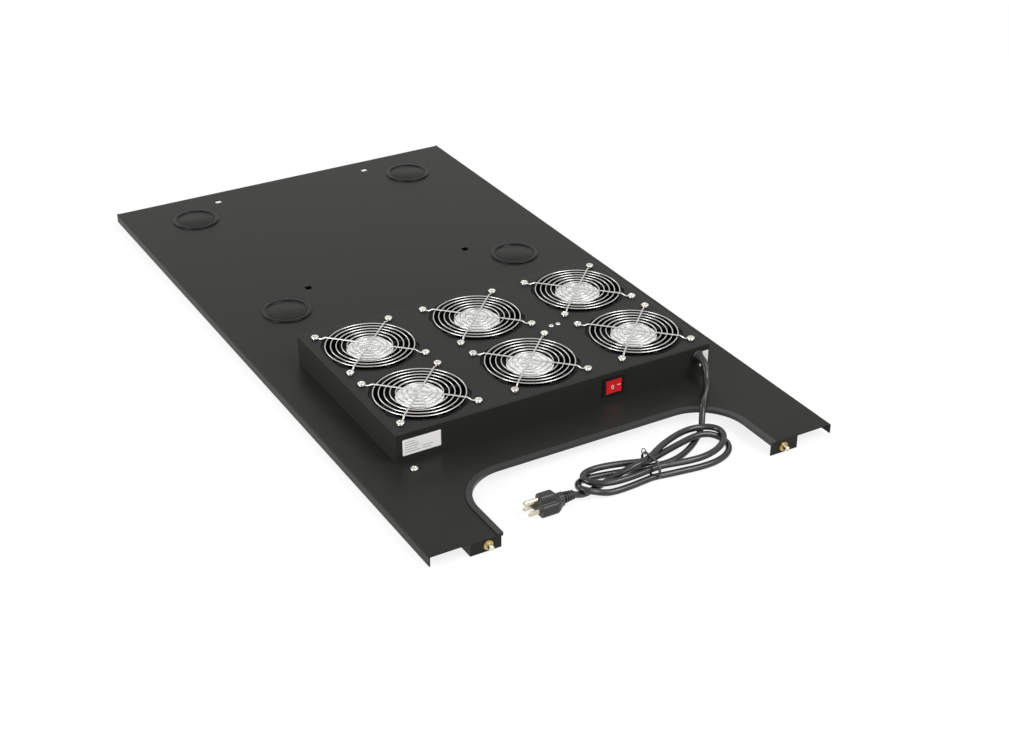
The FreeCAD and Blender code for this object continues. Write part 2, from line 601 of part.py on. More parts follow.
def edge_trim():
    """The U-shaped plastic trim that is pushed over the edge of the cable cut-out."""
    body = new_body("edge_trim")
    side = S.cable_cutout_width / 2
    radius = S.cable_cutout_radius
    start = front_edge - S.trim_overhang
    bend = cutout_back - radius
    route = sketch_on(body, "XY_Plane", "trim_route", panel_top - S.panel_sheet / 2)
    quarter = math.pi / 2

    def spot(x, y):
        return FreeCAD.Vector(number_of(x), number_of(y), 0)

    up = FreeCAD.Vector(0, 0, 1)
    left_circle = Part.Circle(spot(radius - side, bend), up, number_of(radius))
    right_circle = Part.Circle(spot(side - radius, bend), up, number_of(radius))
    pieces = [
        Part.LineSegment(spot(-side, start), spot(-side, bend)),
        Part.ArcOfCircle(left_circle, quarter, 2 * quarter),
        Part.LineSegment(spot(radius - side, cutout_back), spot(side - radius, cutout_back)),
        Part.ArcOfCircle(right_circle, 0, quarter),
        Part.LineSegment(spot(side, bend), spot(side, start))]
    left, left_bend, back, right_bend, right = [route.addGeometry(p, False) for p in pieces]
    for one, end, other, begin in ((left, 2, left_bend, 2), (left_bend, 1, back, 1),
                                   (back, 2, right_bend, 2), (right_bend, 1, right, 1)):
        route.addConstraint(Sketcher.Constraint("Coincident", one, end, other, begin))
    pin_point(route, left, 1, -side, start)
    pin_point(route, left, 2, -side, bend)
    pin_point(route, right, 1, side, bend)
    pin_point(route, right, 2, side, start)
    pin_point(route, back, 1, radius - side, cutout_back)
    pin_point(route, back, 2, side - radius, cutout_back)
    for edge in (left_bend, right_bend):
        set_constraint(route, Sketcher.Constraint("Radius", edge, number_of(radius)), radius)
    section = sketch_on(body, "XZ_Plane", "trim_section", -start)
    slot = S.panel_sheet / 2 + S.trim_play
    face = slot + S.trim_wall
    middle = panel_top - S.panel_sheet / 2
    draw_polygon(section, [
        (-side + S.trim_play + S.trim_wall, middle - face),
        (-side + S.trim_play + S.trim_wall, middle + face),
        (-side - S.trim_leg, middle + face), (-side - S.trim_leg, middle + slot),
        (-side + S.trim_play, middle + slot), (-side + S.trim_play, middle - slot),
        (-side - S.trim_leg, middle - slot), (-side - S.trim_leg, middle - face)])
    sweep = body.newObject("PartDesign::AdditivePipe", "trim_sweep")
    sweep.Profile = section
    sweep.Spine = route
    # The under leg stops short of the front tabs.
    notches = sketch_on(body, "XY_Plane", "trim_end_outline", middle - face - 1)
    stop = front_edge + bend_outside + S.trim_leg / 2
    for low, high in ((-side - S.trim_leg - 1, -side), (side, side + S.trim_leg + 1)):
        draw_rectangle(notches, low, start - 1, high, stop)
    pocket(body, notches, "trim_end_notches", S.trim_wall + 1, backwards=True)
    return body


def hole_plugs():
    """Four snap-in blanking plugs, dished on top and slit below."""
    body = new_body("hole_plug_front_left")
    profile = sketch_on(body, "XZ_Plane", "plug_profile")
    rim = S.plug_rim / 2
    disc = S.plug_disc / 2
    skirt = S.plug_hole / 2 - S.plug_play
    inner = skirt - S.plug_wall
    groove = S.plug_disc_height / 3
    foot = -(S.panel_sheet + S.plug_skirt)
    draw_polygon(profile, [
        (0, S.plug_disc_height), (disc - 1, S.plug_disc_height), (disc - 0.5, groove),
        (disc + 0.5, groove), (disc + 1.5, S.plug_rim_height), (rim - 1.2, S.plug_rim_height),
        (rim, S.plug_rim_height / 2), (rim, 0), (skirt, 0),
        (skirt, -S.panel_sheet - 0.1), (skirt + S.plug_bead + S.plug_play, -S.panel_sheet - 1),
        (skirt - 0.5, foot), (inner, foot), (inner, S.plug_disc_height - S.plug_wall),
        (0, S.plug_disc_height - S.plug_wall)])
    revolve(body, profile, "plug_turning")
    slit = sketch_on(body, "XY_Plane", "plug_slit_outline", foot)
    draw_rectangle(slit, inner - 1, -(S.plug_slit / 2), skirt + 2, S.plug_slit / 2)
    cut = pocket(body, slit, "plug_slit", S.plug_skirt, backwards=True)
    repeat_round(body, cut, "plug_slits", 8)
    for name, (x, y) in plug_places.items():
        if name == "front_left":
            place(body, x, y, panel_top)
            doc.recompute()
        else:
            copy_of(body, "hole_plug_" + name, x, y, panel_top)


def strut_corners():
    """The outline of a motor's four struts, which end in seats in the housing's wall."""
    reach = fan_bore / 2 + S.strut_seat
    across = S.strut_width / 2
    return [
        (-across, -reach), (across, -reach), (across, -across), (reach, -across),
        (reach, across), (across, across), (across, reach), (-across, reach),
        (-across, across), (-reach, across), (-reach, -across), (-across, -across)]


def fan_frame():
    """The die-cast fan housing: two square flanges on a barrel, with seats for the motor's struts."""
    body = new_body("fan_frame_front_left")
    half = fan_size / 2
    block = sketch_on(body, "XY_Plane", "frame_outline")
    draw_rectangle(block, -half, -half, half, half)
    pad(body, block, "frame_block", S.fan_depth, backwards=True)
    round_edges(body, "frame_corners", S.fan_corner, lambda edge: runs_along(edge, "z"))
    waist = sketch_on(body, "XY_Plane", "waist_outline", -S.fan_flange)
    draw_rectangle(waist, -half - 1, -half - 1, half + 1, half + 1)
    draw_circle(waist, 0, 0, fan_size)
    pocket(body, waist, "corner_pockets", S.fan_depth - S.fan_flange * 2)
    bore = sketch_on(body, "XY_Plane", "bore_outline")
    draw_circle(bore, 0, 0, fan_bore)
    pocket(body, bore, "air_duct")
    seats = sketch_on(body, "XY_Plane", "strut_seat_outline", -S.motor_recess)
    draw_polygon(seats, strut_corners())
    pocket(body, seats, "strut_seats", S.strut_height)
    holes = sketch_on(body, "XY_Plane", "frame_holes")
    for x, y in fan_screw_offsets:
        draw_circle(holes, x, y, S.fan_hole)
    pocket(body, holes, "frame_hole_cuts")
    place(body, *fan_centres["front_left"], fan_top)
    return body


def motor_brackets():
    """What carries each motor: a shallow cup and a bearing tube on four struts, one node for the six."""
    cup_top = -S.motor_recess
    cup_foot = cup_top - S.motor_cup_depth
    tube_foot = cup_foot - S.bearing_tube_length
    cup = S.motor_cup / 2
    tube = S.bearing_tube / 2
    well = S.bearing_bore / 2
    corners = [FreeCAD.Vector(number_of(x), number_of(y), number_of(cup_top)) for x, y in strut_corners()]
    struts = Part.Face(Part.makePolygon(corners + corners[:1]))
    struts = struts.extrude(FreeCAD.Vector(0, 0, -number_of(S.strut_height)))
    motor = solid_of_turning([(0, cup_top), (cup, cup_top), (cup, cup_foot), (tube, cup_foot),
                              (tube, tube_foot), (0, tube_foot)])
    bore = solid_of_turning([(0, tube_foot), (well, tube_foot), (well, cup_foot), (0, cup_foot)])
    bracket = struts.fuse(motor).cut(bore).removeSplitter()
    group_of(bracket, "motor_brackets", [spot_at(x, y, fan_top) for x, y in fan_centres.values()])


def fan_rotor():
    """The impeller: a hub cup with its shaft and five twisted blades trimmed to a cylinder."""
    body = new_body("fan_rotor_front_left")
    hub = S.hub / 2
    foot = -(S.hub_top + S.hub_height)
    tube_foot = -(S.motor_recess + S.motor_cup_depth + S.bearing_tube_length)
    shaft_top = tube_foot + S.bearing_tube_length - S.bearing_start
    profile = sketch_on(body, "XZ_Plane", "hub_profile")
    draw_polygon(profile, [
        (0, shaft_top), (S.shaft / 2, shaft_top), (S.shaft / 2, foot + S.hub_wall),
        (hub - S.hub_wall, foot + S.hub_wall), (hub - S.hub_wall, -S.hub_top),
        (hub, -S.hub_top), (hub, foot + 2), (hub - 2, foot), (0, foot)])
    revolve(body, profile, "hub_turning")
    tip = fan_bore / 2 - S.blade_gap
    middle = -(S.blade_drop + S.blade_height / 2)

    def blade_section(name, reach, turn):
        """A slanting blade section, a parallelogram cut square at its two edges."""
        drawing = sketch_on(body, "XZ_Plane", name, reach)
        slant = math.tan(math.radians(number_of(turn)))
        half_height = S.blade_height / 2
        half_width = half_height * slant
        thick = S.blade_thickness / (2 * math.cos(math.radians(number_of(turn))))
        draw_polygon(drawing, [
            (-half_width - thick, middle + half_height), (thick - half_width, middle + half_height),
            (half_width + thick, middle - half_height), (half_width - thick, middle - half_height)])
        return drawing

    root = blade_section("blade_root", hub - S.hub_wall * 0.8, S.blade_root_turn)
    outer = blade_section("blade_tip", tip + 1, S.blade_tip_turn)
    blade = body.newObject("PartDesign::AdditiveLoft", "blade")
    blade.Profile = root
    blade.Sections = [outer]
    blade.Ruled = False
    doc.recompute()
    repeat_round(body, blade, "blades", S.blade_count)
    doc.recompute()
    sweep = sketch_on(body, "XY_Plane", "tip_circle", foot - 1)
    draw_circle(sweep, 0, 0, tip * 2)
    draw_circle(sweep, 0, 0, tip * 4)
    pocket(body, sweep, "tip_trim", S.hub_height + 4, backwards=True)
    place(body, *fan_centres["front_left"], fan_top)
    return body


# Where the ribs' crank starts and ends, as shares of the way from the outer ring to the eye.
CRANK_SHARES = (0.16, 0.69)


def octagon(radius, across, up):
    """The eight corners of a wire's section about a centre, as pairs of numbers."""
    angles = [math.radians(22.5 + 45 * k) for k in range(8)]
    return [(across + radius * math.cos(a), up + radius * math.sin(a)) for a in angles]


def wire_ring(ring_radius, wire_radius, height):
    """A ring of eight-sided wire about Z."""
    return solid_of_turning(octagon(wire_radius, ring_radius, height))


def wire_along(path, wire_radius):
    """An eight-sided wire swept along a flat path that starts towards +X."""
    start = path.Edges[0].valueAt(path.Edges[0].FirstParameter)
    corners = [start + FreeCAD.Vector(0, a, b) for a, b in octagon(wire_radius, 0, 0)]
    return path.makePipeShell([Part.makePolygon(corners + corners[:1])], True, False)


def finger_guard():
    """A welded wire guard: rings under two crossing ribs that step down to eyes at the screws."""
    rib = number_of(S.guard_rib)
    wire = number_of(S.guard_wire)
    lift = number_of(S.guard_lift) + rib / 2
    corner = number_of(fan_hole_spacing) / 2 * math.sqrt(2)
    eye = number_of(S.guard_eye) / 2 + rib / 2
    low = rib / 2
    outer_ring = number_of(fan_size) / 2 - number_of(S.guard_ring_inset)
    rise_to, rise_from = [outer_ring + (corner - eye - outer_ring) * share for share in CRANK_SHARES]
    radius = number_of(S.guard_crank_radius)
    half_path = [(corner - eye, low), (rise_from, low), (rise_to, lift)]
    points = [FreeCAD.Vector(-r, 0, z) for r, z in half_path]
    points += [FreeCAD.Vector(r, 0, z) for r, z in reversed(half_path)]
    rail = wire_along(bent_wire_path(points, [radius] * 4), rib / 2)
    pieces = []
    for turn in (45, 135):
        copy = rail.copy()
        copy.rotate(FreeCAD.Vector(), FreeCAD.Vector(0, 0, 1), turn)
        pieces.append(copy)
    for x, y in fan_screw_offsets:
        loop = wire_ring(eye, rib / 2, low)
        loop.translate(FreeCAD.Vector(number_of(x), number_of(y), 0))
        pieces.append(loop)
    ring_height = lift - (rib + wire) / 2 + number_of(S.guard_weld)
    for index in range(int(number_of(S.guard_ring_count))):
        diameter = outer_ring * 2 - number_of(S.guard_ring_pitch) * index
        pieces.append(wire_ring(diameter / 2, wire / 2, ring_height))
    thing = doc.addObject("Part::Feature", "finger_guard_front_left")
    thing.Shape = pieces[0].fuse(pieces[1:])
    place(thing, *fan_centres["front_left"], box_top)
    return keep(thing, "finger_guard_front_left")


def motor_inner_parts():
    """What each motor cup carries: label disc, stator and two bearings, one node for each kind."""
    cup_foot = S.motor_recess + S.motor_cup_depth
    spots = [spot_at(x, y, fan_top) for x, y in fan_centres.values()]
    disc = S.motor_label / 2
    label = solid_of_turning([(0, -S.motor_recess), (disc, -S.motor_recess),
                              (disc, S.label_thickness - S.motor_recess),
                              (0, S.label_thickness - S.motor_recess)])
    group_of(label, "motor_labels", spots)
    tube = S.bearing_tube / 2 + S.stator_play
    core = S.stator / 2
    top = -(cup_foot + S.stator_drop - S.motor_cup_depth)
    stator = solid_of_turning([(tube, top), (core, top), (core, top - S.stator_height),
                               (tube, top - S.stator_height)])
    group_of(stator, "motor_stators", spots)
    outer = S.bearing_bore / 2
    inner = S.shaft / 2 + S.shaft_play
    rings = []
    for drop in (S.bearing_start, S.bearing_start + S.bearing_spacing):
        high = -(cup_foot + drop)
        rings.append(solid_of_turning([(inner, high), (outer, high), (outer, high - S.bearing_width),
                                       (inner, high - S.bearing_width)]))
    group_of(Part.makeCompound(rings), "motor_bearings", spots)


def pan_screw(thread, head, head_height, length):
    """A pan head screw that hangs from Z = 0, its head above."""
    r = number_of(head) / 2
    h = number_of(head_height)
    outline = Part.Wire([
        Part.makeLine((0, 0, h), (r * 0.45, 0, h)),
        Part.Arc(FreeCAD.Vector(r * 0.45, 0, h), FreeCAD.Vector(r * 0.88, 0, h * 0.78),
                 FreeCAD.Vector(r, 0, h * 0.4)).toShape(),
        Part.makeLine((r, 0, h * 0.4), (r, 0, 0)),
        Part.makeLine((r, 0, 0), (number_of(thread) / 2, 0, 0)),
        Part.makeLine((number_of(thread) / 2, 0, 0), (number_of(thread) / 2, 0, -number_of(length))),
        Part.makeLine((number_of(thread) / 2, 0, -number_of(length)), (0, 0, -number_of(length))),
        Part.makeLine((0, 0, -number_of(length)), (0, 0, h))])
    return Part.Face(outline).revolve(FreeCAD.Vector(), FreeCAD.Vector(0, 0, 1), 360)


def hexagon_nut(flats, height, hole):
    """A hexagon nut standing on Z = 0 with two flats square to Y."""
    radius = number_of(flats) / math.sqrt(3)
    corners = [FreeCAD.Vector(radius * math.cos(math.radians(60 * n)),
                              radius * math.sin(math.radians(60 * n)), 0) for n in range(7)]
    block = Part.Face(Part.makePolygon(corners)).extrude(FreeCAD.Vector(0, 0, number_of(height)))
    return block.cut(Part.makeCylinder(number_of(hole) / 2, number_of(height)))


def fasteners():
    """All loose fasteners, one node for each kind."""
    screw = pan_screw(S.screw_thread, S.guard_screw_head, S.guard_screw_head_height, S.screw_length)
    seat = box_top + S.guard_rib
    corners = [(x + dx, y + dy) for x, y in fan_centres.values() for dx, dy in fan_screw_offsets]
    group_of(screw, "guard_screws", [spot_at(x, y, seat) for x, y in corners])
    nut = hexagon_nut(S.nut_flats, S.nut_height, S.screw_thread + S.shaft_play * 2)
    nut_seat = fan_top - S.fan_flange - S.nut_height
    group_of(nut, "guard_nuts", [spot_at(x, y, nut_seat) for x, y in corners])
    foot_screw = pan_screw(S.screw_thread, S.screw_head, S.screw_head_height, S.foot_screw_length)
    group_of(foot_screw, "box_screws",
             [spot_at(x, y, panel_under, (1, 0, 0), 180) for x, y in box_screw_places])
    group_of(nut, "box_nuts",
             [spot_at(x, y, panel_top + S.box_sheet) for x, y in box_screw_places])
    earth = pan_screw(S.earth_thread, S.earth_head, S.earth_head_height, S.earth_length)
    group_of(earth, "earth_screw", [spot_at(*earth_place, panel_top)])
    earth_nut = hexagon_nut(S.earth_nut_flats, S.earth_nut_height, S.earth_thread + S.shaft_play * 2)
    group_of(earth_nut, "earth_nut", [spot_at(*earth_place, panel_under - S.earth_nut_height)])
    rivet = pan_screw(S.rivet_shank, S.rivet_head, S.rivet_head_height, S.box_sheet)
    group_of(rivet, "top_rivets",
             [spot_at(switch_centre[0] + S.rivet_spacing * side, box_middle, box_top)
              for side in (-0.5, 0.5)])


def terminal_block():
    """The moulded mains terminal block under the top of the box, with its entries and wells."""
    body = new_body("terminal_block")
    across = S.terminal_length / 2
    deep = S.terminal_width / 2
    base = sketch_on(body, "XY_Plane", "block_outline")
    draw_rectangle(base, -across, -deep, across, deep)
    pad(body, base, "block", S.terminal_height, backwards=True)
    entries = sketch_on(body, "XZ_Plane", "wire_entries")
    wells = sketch_on(body, "XY_Plane", "screw_wells", -S.terminal_height)
    for index in (-1, 0, 1):
        draw_circle(entries, S.terminal_pitch * index, -(S.terminal_height * 0.55), S.terminal_entry)
        draw_circle(wells, S.terminal_pitch * index, 0, S.terminal_well)
    pocket(body, entries, "entry_cuts")
    pocket(body, wells, "well_cuts", S.terminal_height * 0.4, backwards=True)
    place(body, switch_centre[0], box_middle, fan_top)
    return body


def switch_parts():
    """A panel-mount rocker switch: housing with its bezel, rocker on a pin, four blades."""
    body = new_body("switch_housing")
    wide, tall = S.switch_width / 2, S.switch_height / 2
    fit_wide = S.switch_cutout_width / 2 - S.switch_play
    fit_tall = S.switch_cutout_height / 2 - S.switch_play
    rim = sketch_on(body, "XZ_Plane", "bezel_outline")
    draw_rectangle(rim, -wide, -tall, wide, tall)
    pad(body, rim, "bezel", S.switch_rim)
    round_edges(body, "bezel_corners", S.switch_rim / 2, lambda edge: runs_along(edge, "y"))
    barrel = sketch_on(body, "XZ_Plane", "housing_outline")
    draw_rectangle(barrel, -fit_wide, -fit_tall, fit_wide, fit_tall)
    pad(body, barrel, "housing", S.switch_depth, backwards=True)
    mouth_wide = S.rocker_width / 2 + S.rocker_gap
    mouth_tall = S.rocker_height / 2 + S.rocker_gap
    mouth = sketch_on(body, "XZ_Plane", "rocker_mouth", S.switch_rim)
    draw_rectangle(mouth, -mouth_wide, -mouth_tall, mouth_wide, mouth_tall)
    pocket(body, mouth, "rocker_well", S.switch_rim + S.switch_depth - S.switch_wall)
    pivot = sketch_on(body, "XY_Plane", "pivot_bore")
    draw_circle(pivot, 0, S.rocker_pivot_depth, S.rocker_pin + S.rocker_pin_play * 2)
    pocket(body, pivot, "pivot_holes")
    place(body, switch_centre[0], box_front, switch_centre[1])

    rocker = new_body("switch_rocker")
    half = S.rocker_width / 2
    depth = S.rocker_pivot_depth
    face = -(S.switch_rim + 0.6)
    corner = S.rocker_corner
    outline = sketch_on(rocker, "XY_Plane", "rocker_outline", -(S.rocker_height / 2))
    draw_polygon(outline, [
        (-half + corner, face), (-half * 0.5, face + 0.9), (0, face + 1.2), (half * 0.5, face + 0.9),
        (half - corner, face), (half, face + corner * 3), (half, face + 2.6),
        (half * 0.62, depth + 2.2), (0, depth + S.rocker_root), (-half * 0.62, depth + 2.2),
        (-half, face + 2.6), (-half, face + corner * 3)])
    pad(rocker, outline, "rocker_block", S.rocker_height)
    pin = sketch_on(rocker, "XY_Plane", "pin_outline", -(fit_tall - S.switch_play))
    draw_circle(pin, 0, depth, S.rocker_pin)
    pad(rocker, pin, "rocker_pin", (fit_tall - S.switch_play) * 2)
    rocker.Placement = FreeCAD.Placement(
        FreeCAD.Vector(), FreeCAD.Rotation(FreeCAD.Vector(0, 0, 1), 0))
    place(rocker, switch_centre[0], box_front, switch_centre[1])

    blade = Part.makeBox(number_of(S.terminal_blade_thickness), number_of(S.terminal_blade_length),
                         number_of(S.terminal_blade_width))
    blade.translate(FreeCAD.Vector(-number_of(S.terminal_blade_thickness) / 2, 0,
                                   -number_of(S.terminal_blade_width) / 2))
    back = box_front + S.switch_depth
    group_of(blade, "switch_blades",
             [spot_at(switch_centre[0] + S.switch_cutout_width * (a / 4), back,
                      switch_centre[1] + S.switch_cutout_height * (b / 4))
              for a in (-1, 1) for b in (-1, 1)])


def cord_bushing():
    """The strain relief bushing that holds the cord in the front of the box."""
    body = new_body("cord_bushing")
    bore = S.cord_diameter / 2 + S.cord_seat
    flange = S.bushing_flange / 2
    neck = S.bushing_neck / 2
    shank = S.bushing_hole / 2 - S.bushing_play
    reach = S.bushing_flange_thickness + S.bushing_reach
    profile = sketch_on(body, "XY_Plane", "bushing_profile")
    draw_polygon(profile, [
        (bore, S.bushing_tail), (shank, S.bushing_tail), (shank, 0), (flange, 0),
        (flange, -S.bushing_flange_thickness), (neck, -S.bushing_flange_thickness - 1),
        (S.bushing_tip / 2, -reach), (bore, -reach)])
    revolve(body, profile, "bushing_turning")
    place(body, bushing_side, box_front, S.bushing_height)
    return body


# The places of the cord, the hank and the plug are written for a cut-out whose rear edge is here.
CORD_DATUM = -397.5
cord_move = FreeCAD.Vector(0, number_of(cutout_back) - CORD_DATUM, 0)
# The cord leaves the bushing, bends down to the panel, passes over the trim and lies on the floor.
CORD_ROUTE = [
    (204, -336.5, 45.8), (204, -345.5, 45.8), (202.3, -353, 41), (199.5, -359.5, 33),
    (195.5, -366.5, 26.5), (188, -376.5, 23.6), (177.5, -388.5, 25), (166.2, -402, 30.4),
    (156.2, -413.5, 31), (148, -424, 23), (141.5, -433, 11.5), (131.5, -440, 5.2),
    (118.5, -448.5, 4.4)]
PLUG_LEAD_ROUTE = [(-73, -480.3, 12.2), (-50, -478.5, 6)]
# How far each of the first points moves with the bushing when the box changes size.
CORD_FOLLOWING = [1, 1, 1, 0.85, 0.65, 0.4, 0.2]
# The tied hank: each section's X, the middle of its Y, its half width and its height.
HANK_SECTIONS = [
    (-63, -473, 9, 13), (-58, -471.5, 15, 16.4), (-48, -468.5, 21, 16.4), (-30, -467.8, 24, 16.6),
    (-10, -468.5, 24.8, 17), (10, -470, 22, 21.5), (26, -471.5, 19, 23.2),
    (36, -473.8, 17.5, 21.6), (42, -473.8, 17.5, 21.6), (55, -474.3, 20, 22.8),
    (80, -470.3, 27.5, 21.2), (100, -467.3, 33, 20.5), (125, -465.3, 34.5, 20),
    (143, -462, 29, 20), (153, -462, 22, 19), (160, -461, 12, 17)]
HANK_LIFT = 1.6


def hank_outline(middle, half_width, height, lift):
    """A flat-bottomed section of the bundle, with its corners taken off, as eight corners."""
    return [(middle - half_width, lift + 5), (middle - half_width + 3.5, lift),
            (middle + half_width - 3.5, lift), (middle + half_width, lift + 5),
            (middle + half_width, lift + height - 6), (middle + half_width - 5, lift + height),
            (middle - half_width + 5, lift + height), (middle - half_width, lift + height - 6)]


def cord_parts():
    """The mains cord's tube, its tied hank, the tie, the short lead and the moulded plug."""
    points = [FreeCAD.Vector(*point) + cord_move for point in CORD_ROUTE]
    inside = number_of(S.bushing_flange_thickness + S.bushing_reach) * 0.55
    mouth = FreeCAD.Vector(number_of(bushing_side), number_of(box_front) - inside,
                           number_of(S.bushing_height))
    shift = mouth - points[0]
    points = [point + shift * share for point, share in
              zip(points, CORD_FOLLOWING + [0] * (len(points) - len(CORD_FOLLOWING)))]
    radii = []
    for before, corner, after in zip(points, points[1:], points[2:]):
        turn = (corner - before).getAngle(after - corner)
        run = min((corner - before).Length, (after - corner).Length)
        radii.append(0.45 * run / math.tan(turn / 2))
    print("cord arc radii", [round(radius, 1) for radius in radii])
    tube = doc.addObject("Part::Feature", "power_cord")
    path = bent_wire_path(points, radii)
    tube.Shape = round_wire(path, S.cord_diameter)
    section = math.pi * number_of(S.cord_diameter) ** 2 / 4
    print("cord length %.1f volume ratio %.4f" % (path.Length, tube.Shape.Volume / section / path.Length))
    keep(tube, "power_cord")

    body = new_body("cord_hank")
    waist = min(range(2, len(HANK_SECTIONS) - 2), key=lambda index: HANK_SECTIONS[index][2])
    sections = []
    for index, (x, middle, half_width, height) in enumerate(HANK_SECTIONS):
        drawing = sketch_on(body, "YZ_Plane", "hank_section_%d" % index, x)
        lift = HANK_LIFT if index in (waist, waist + 1) else 0.1
        draw_polygon(drawing, hank_outline(middle + cord_move.y, half_width, height, lift))
        sections.append(drawing)
    loft = body.newObject("PartDesign::AdditiveLoft", "hank_loft")
    loft.Profile = sections[0]
    loft.Sections = sections[1:]
    loft.Ruled = True
    x, middle, half_width, height = HANK_SECTIONS[waist]
    middle_x = (x + HANK_SECTIONS[waist + 1][0]) / 2

    def waist_slab(growth):
        """An upright slab with the waist's outline, grown evenly all round."""
        corners = [FreeCAD.Vector(middle_x - number_of(S.tie_width) / 2, y, z)
                   for y, z in hank_outline(middle + cord_move.y, half_width, height, HANK_LIFT)]
        outline = Part.makePolygon(corners + corners[:1])
        if growth:
            outline = outline.makeOffset2D(growth, 2)
        return Part.Face(outline).extrude(FreeCAD.Vector(number_of(S.tie_width), 0, 0))

    gap = number_of(S.tie_gap)
    tie = doc.addObject("Part::Feature", "hank_tie")
    tie.Shape = waist_slab(gap + number_of(S.tie_thickness)).cut(waist_slab(gap))
    keep(tie, "hank_tie")
    lead = doc.addObject("Part::Feature", "plug_lead")
    ends = [FreeCAD.Vector(*point) + cord_move for point in PLUG_LEAD_ROUTE]
    along = (ends[1] - ends[0])
    lead.Shape = Part.makeCylinder(number_of(S.cord_diameter) / 2, along.Length, ends[0], along)
    keep(lead, "plug_lead")


PLUG_LENGTH = 33
PLUG_WIDTH = 25
PLUG_TALL = 27
PLUG_FRONT = (-119.5, -480 + cord_move.y, 0)
PLUG_BLADE_HEIGHT = 9.2
PLUG_CORD_HEIGHT = 12.5


def plug_parts():
    """The moulded three-pin plug that lies on the floor, its ground pin uppermost."""
    body = new_body("plug_body")
    profile = sketch_on(body, "YZ_Plane", "plug_outline")
    half = PLUG_WIDTH / 2
    draw_polygon(profile, [
        (-half + 2, 0), (half - 2, 0), (half, 2.5), (half, 14), (half * 0.55, PLUG_TALL - 2.5),
        (half * 0.36, PLUG_TALL), (-half * 0.36, PLUG_TALL), (-half * 0.55, PLUG_TALL - 2.5),
        (-half, 14), (-half, 2.5)])
    pad(body, profile, "plug_block", PLUG_LENGTH * 0.62)
    shoulder = sketch_on(body, "YZ_Plane", "shoulder_outline", PLUG_LENGTH * 0.62)
    draw_polygon(shoulder, [
        (-half + 2, 0), (half - 2, 0), (half, 2.5), (half, 14), (half * 0.55, PLUG_TALL - 2.5),
        (half * 0.36, PLUG_TALL), (-half * 0.36, PLUG_TALL), (-half * 0.55, PLUG_TALL - 2.5),
        (-half, 14), (-half, 2.5)])
    neck = sketch_on(body, "YZ_Plane", "neck_outline", PLUG_LENGTH)
    draw_polygon(neck, [
        (-6, 5), (6, 5), (7, 6.5), (7, 12), (6.6, 18),
        (5, 20), (-5, 20), (-6.6, 18), (-7, 12), (-7, 6.5)])
    taper = body.newObject("PartDesign::AdditiveLoft", "plug_shoulder")
    taper.Profile = shoulder
    taper.Sections = [neck]
    relief = sketch_on(body, "XZ_Plane", "relief_profile")
    radius = number_of(S.cord_diameter) / 2
    ribs = [(PLUG_LENGTH - 1, 0), (PLUG_LENGTH - 1, 6.6), (PLUG_LENGTH + 1, 6.6)]
    for index in range(3):
        start = PLUG_LENGTH + 1 + 4 * index
        ribs += [(start, 5.2 - 0.4 * index), (start + 1.6, 5.2 - 0.4 * index),
                 (start + 1.6, 6.4 - 0.5 * index), (start + 4, 6.4 - 0.5 * index)]
    ribs += [(PLUG_LENGTH + 13, radius + 0.6), (PLUG_LENGTH + 15, radius + 0.6), (PLUG_LENGTH + 15, 0)]
    draw_polygon(relief, [(x, PLUG_CORD_HEIGHT + r) for x, r in ribs])
    line = relief.addGeometry(Part.LineSegment(
        FreeCAD.Vector(PLUG_LENGTH - 1, PLUG_CORD_HEIGHT, 0),
        FreeCAD.Vector(PLUG_LENGTH + 15, PLUG_CORD_HEIGHT, 0)), True)
    relief.addConstraint(Sketcher.Constraint("Block", line))
    turning = body.newObject("PartDesign::Revolution", "strain_relief")
    turning.Profile = relief
    turning.ReferenceAxis = (relief, ["Axis0"])
    turning.Angle = 360
    place(body, *PLUG_FRONT)
    blade_outline = [(0, -3.15), (-14.6, -3.15), (-16.8, -1.6), (-16.8, 1.6), (-14.6, 3.15), (0, 3.15)]
    corners = [FreeCAD.Vector(x, -0.75, z) for x, z in blade_outline]
    blade = Part.Face(Part.makePolygon(corners + corners[:1])).extrude(FreeCAD.Vector(0, 1.5, 0))
    blade = blade.cut(Part.makeCylinder(1.6, 4, FreeCAD.Vector(-12, -2, 0), FreeCAD.Vector(0, 1, 0)))
    pin = solid_of_turning([(0, 0), (2.4, 0), (2.4, 18), (1.4, 20), (0, 20)])
    pin.rotate(FreeCAD.Vector(), FreeCAD.Vector(0, 1, 0), -90)
    front_x, front_y, _ = PLUG_FRONT
    prongs = []
    for side in (-1, 1):
        copy = blade.copy()
        copy.translate(FreeCAD.Vector(front_x, front_y + 6.35 * side, PLUG_BLADE_HEIGHT))
        prongs.append(copy)
    pin.translate(FreeCAD.Vector(front_x, front_y, PLUG_BLADE_HEIGHT + 11.9))
    thing = doc.addObject("Part::Feature", "plug_prongs")
    thing.Shape = Part.makeCompound(prongs + [pin])
    keep(thing, "plug_prongs")


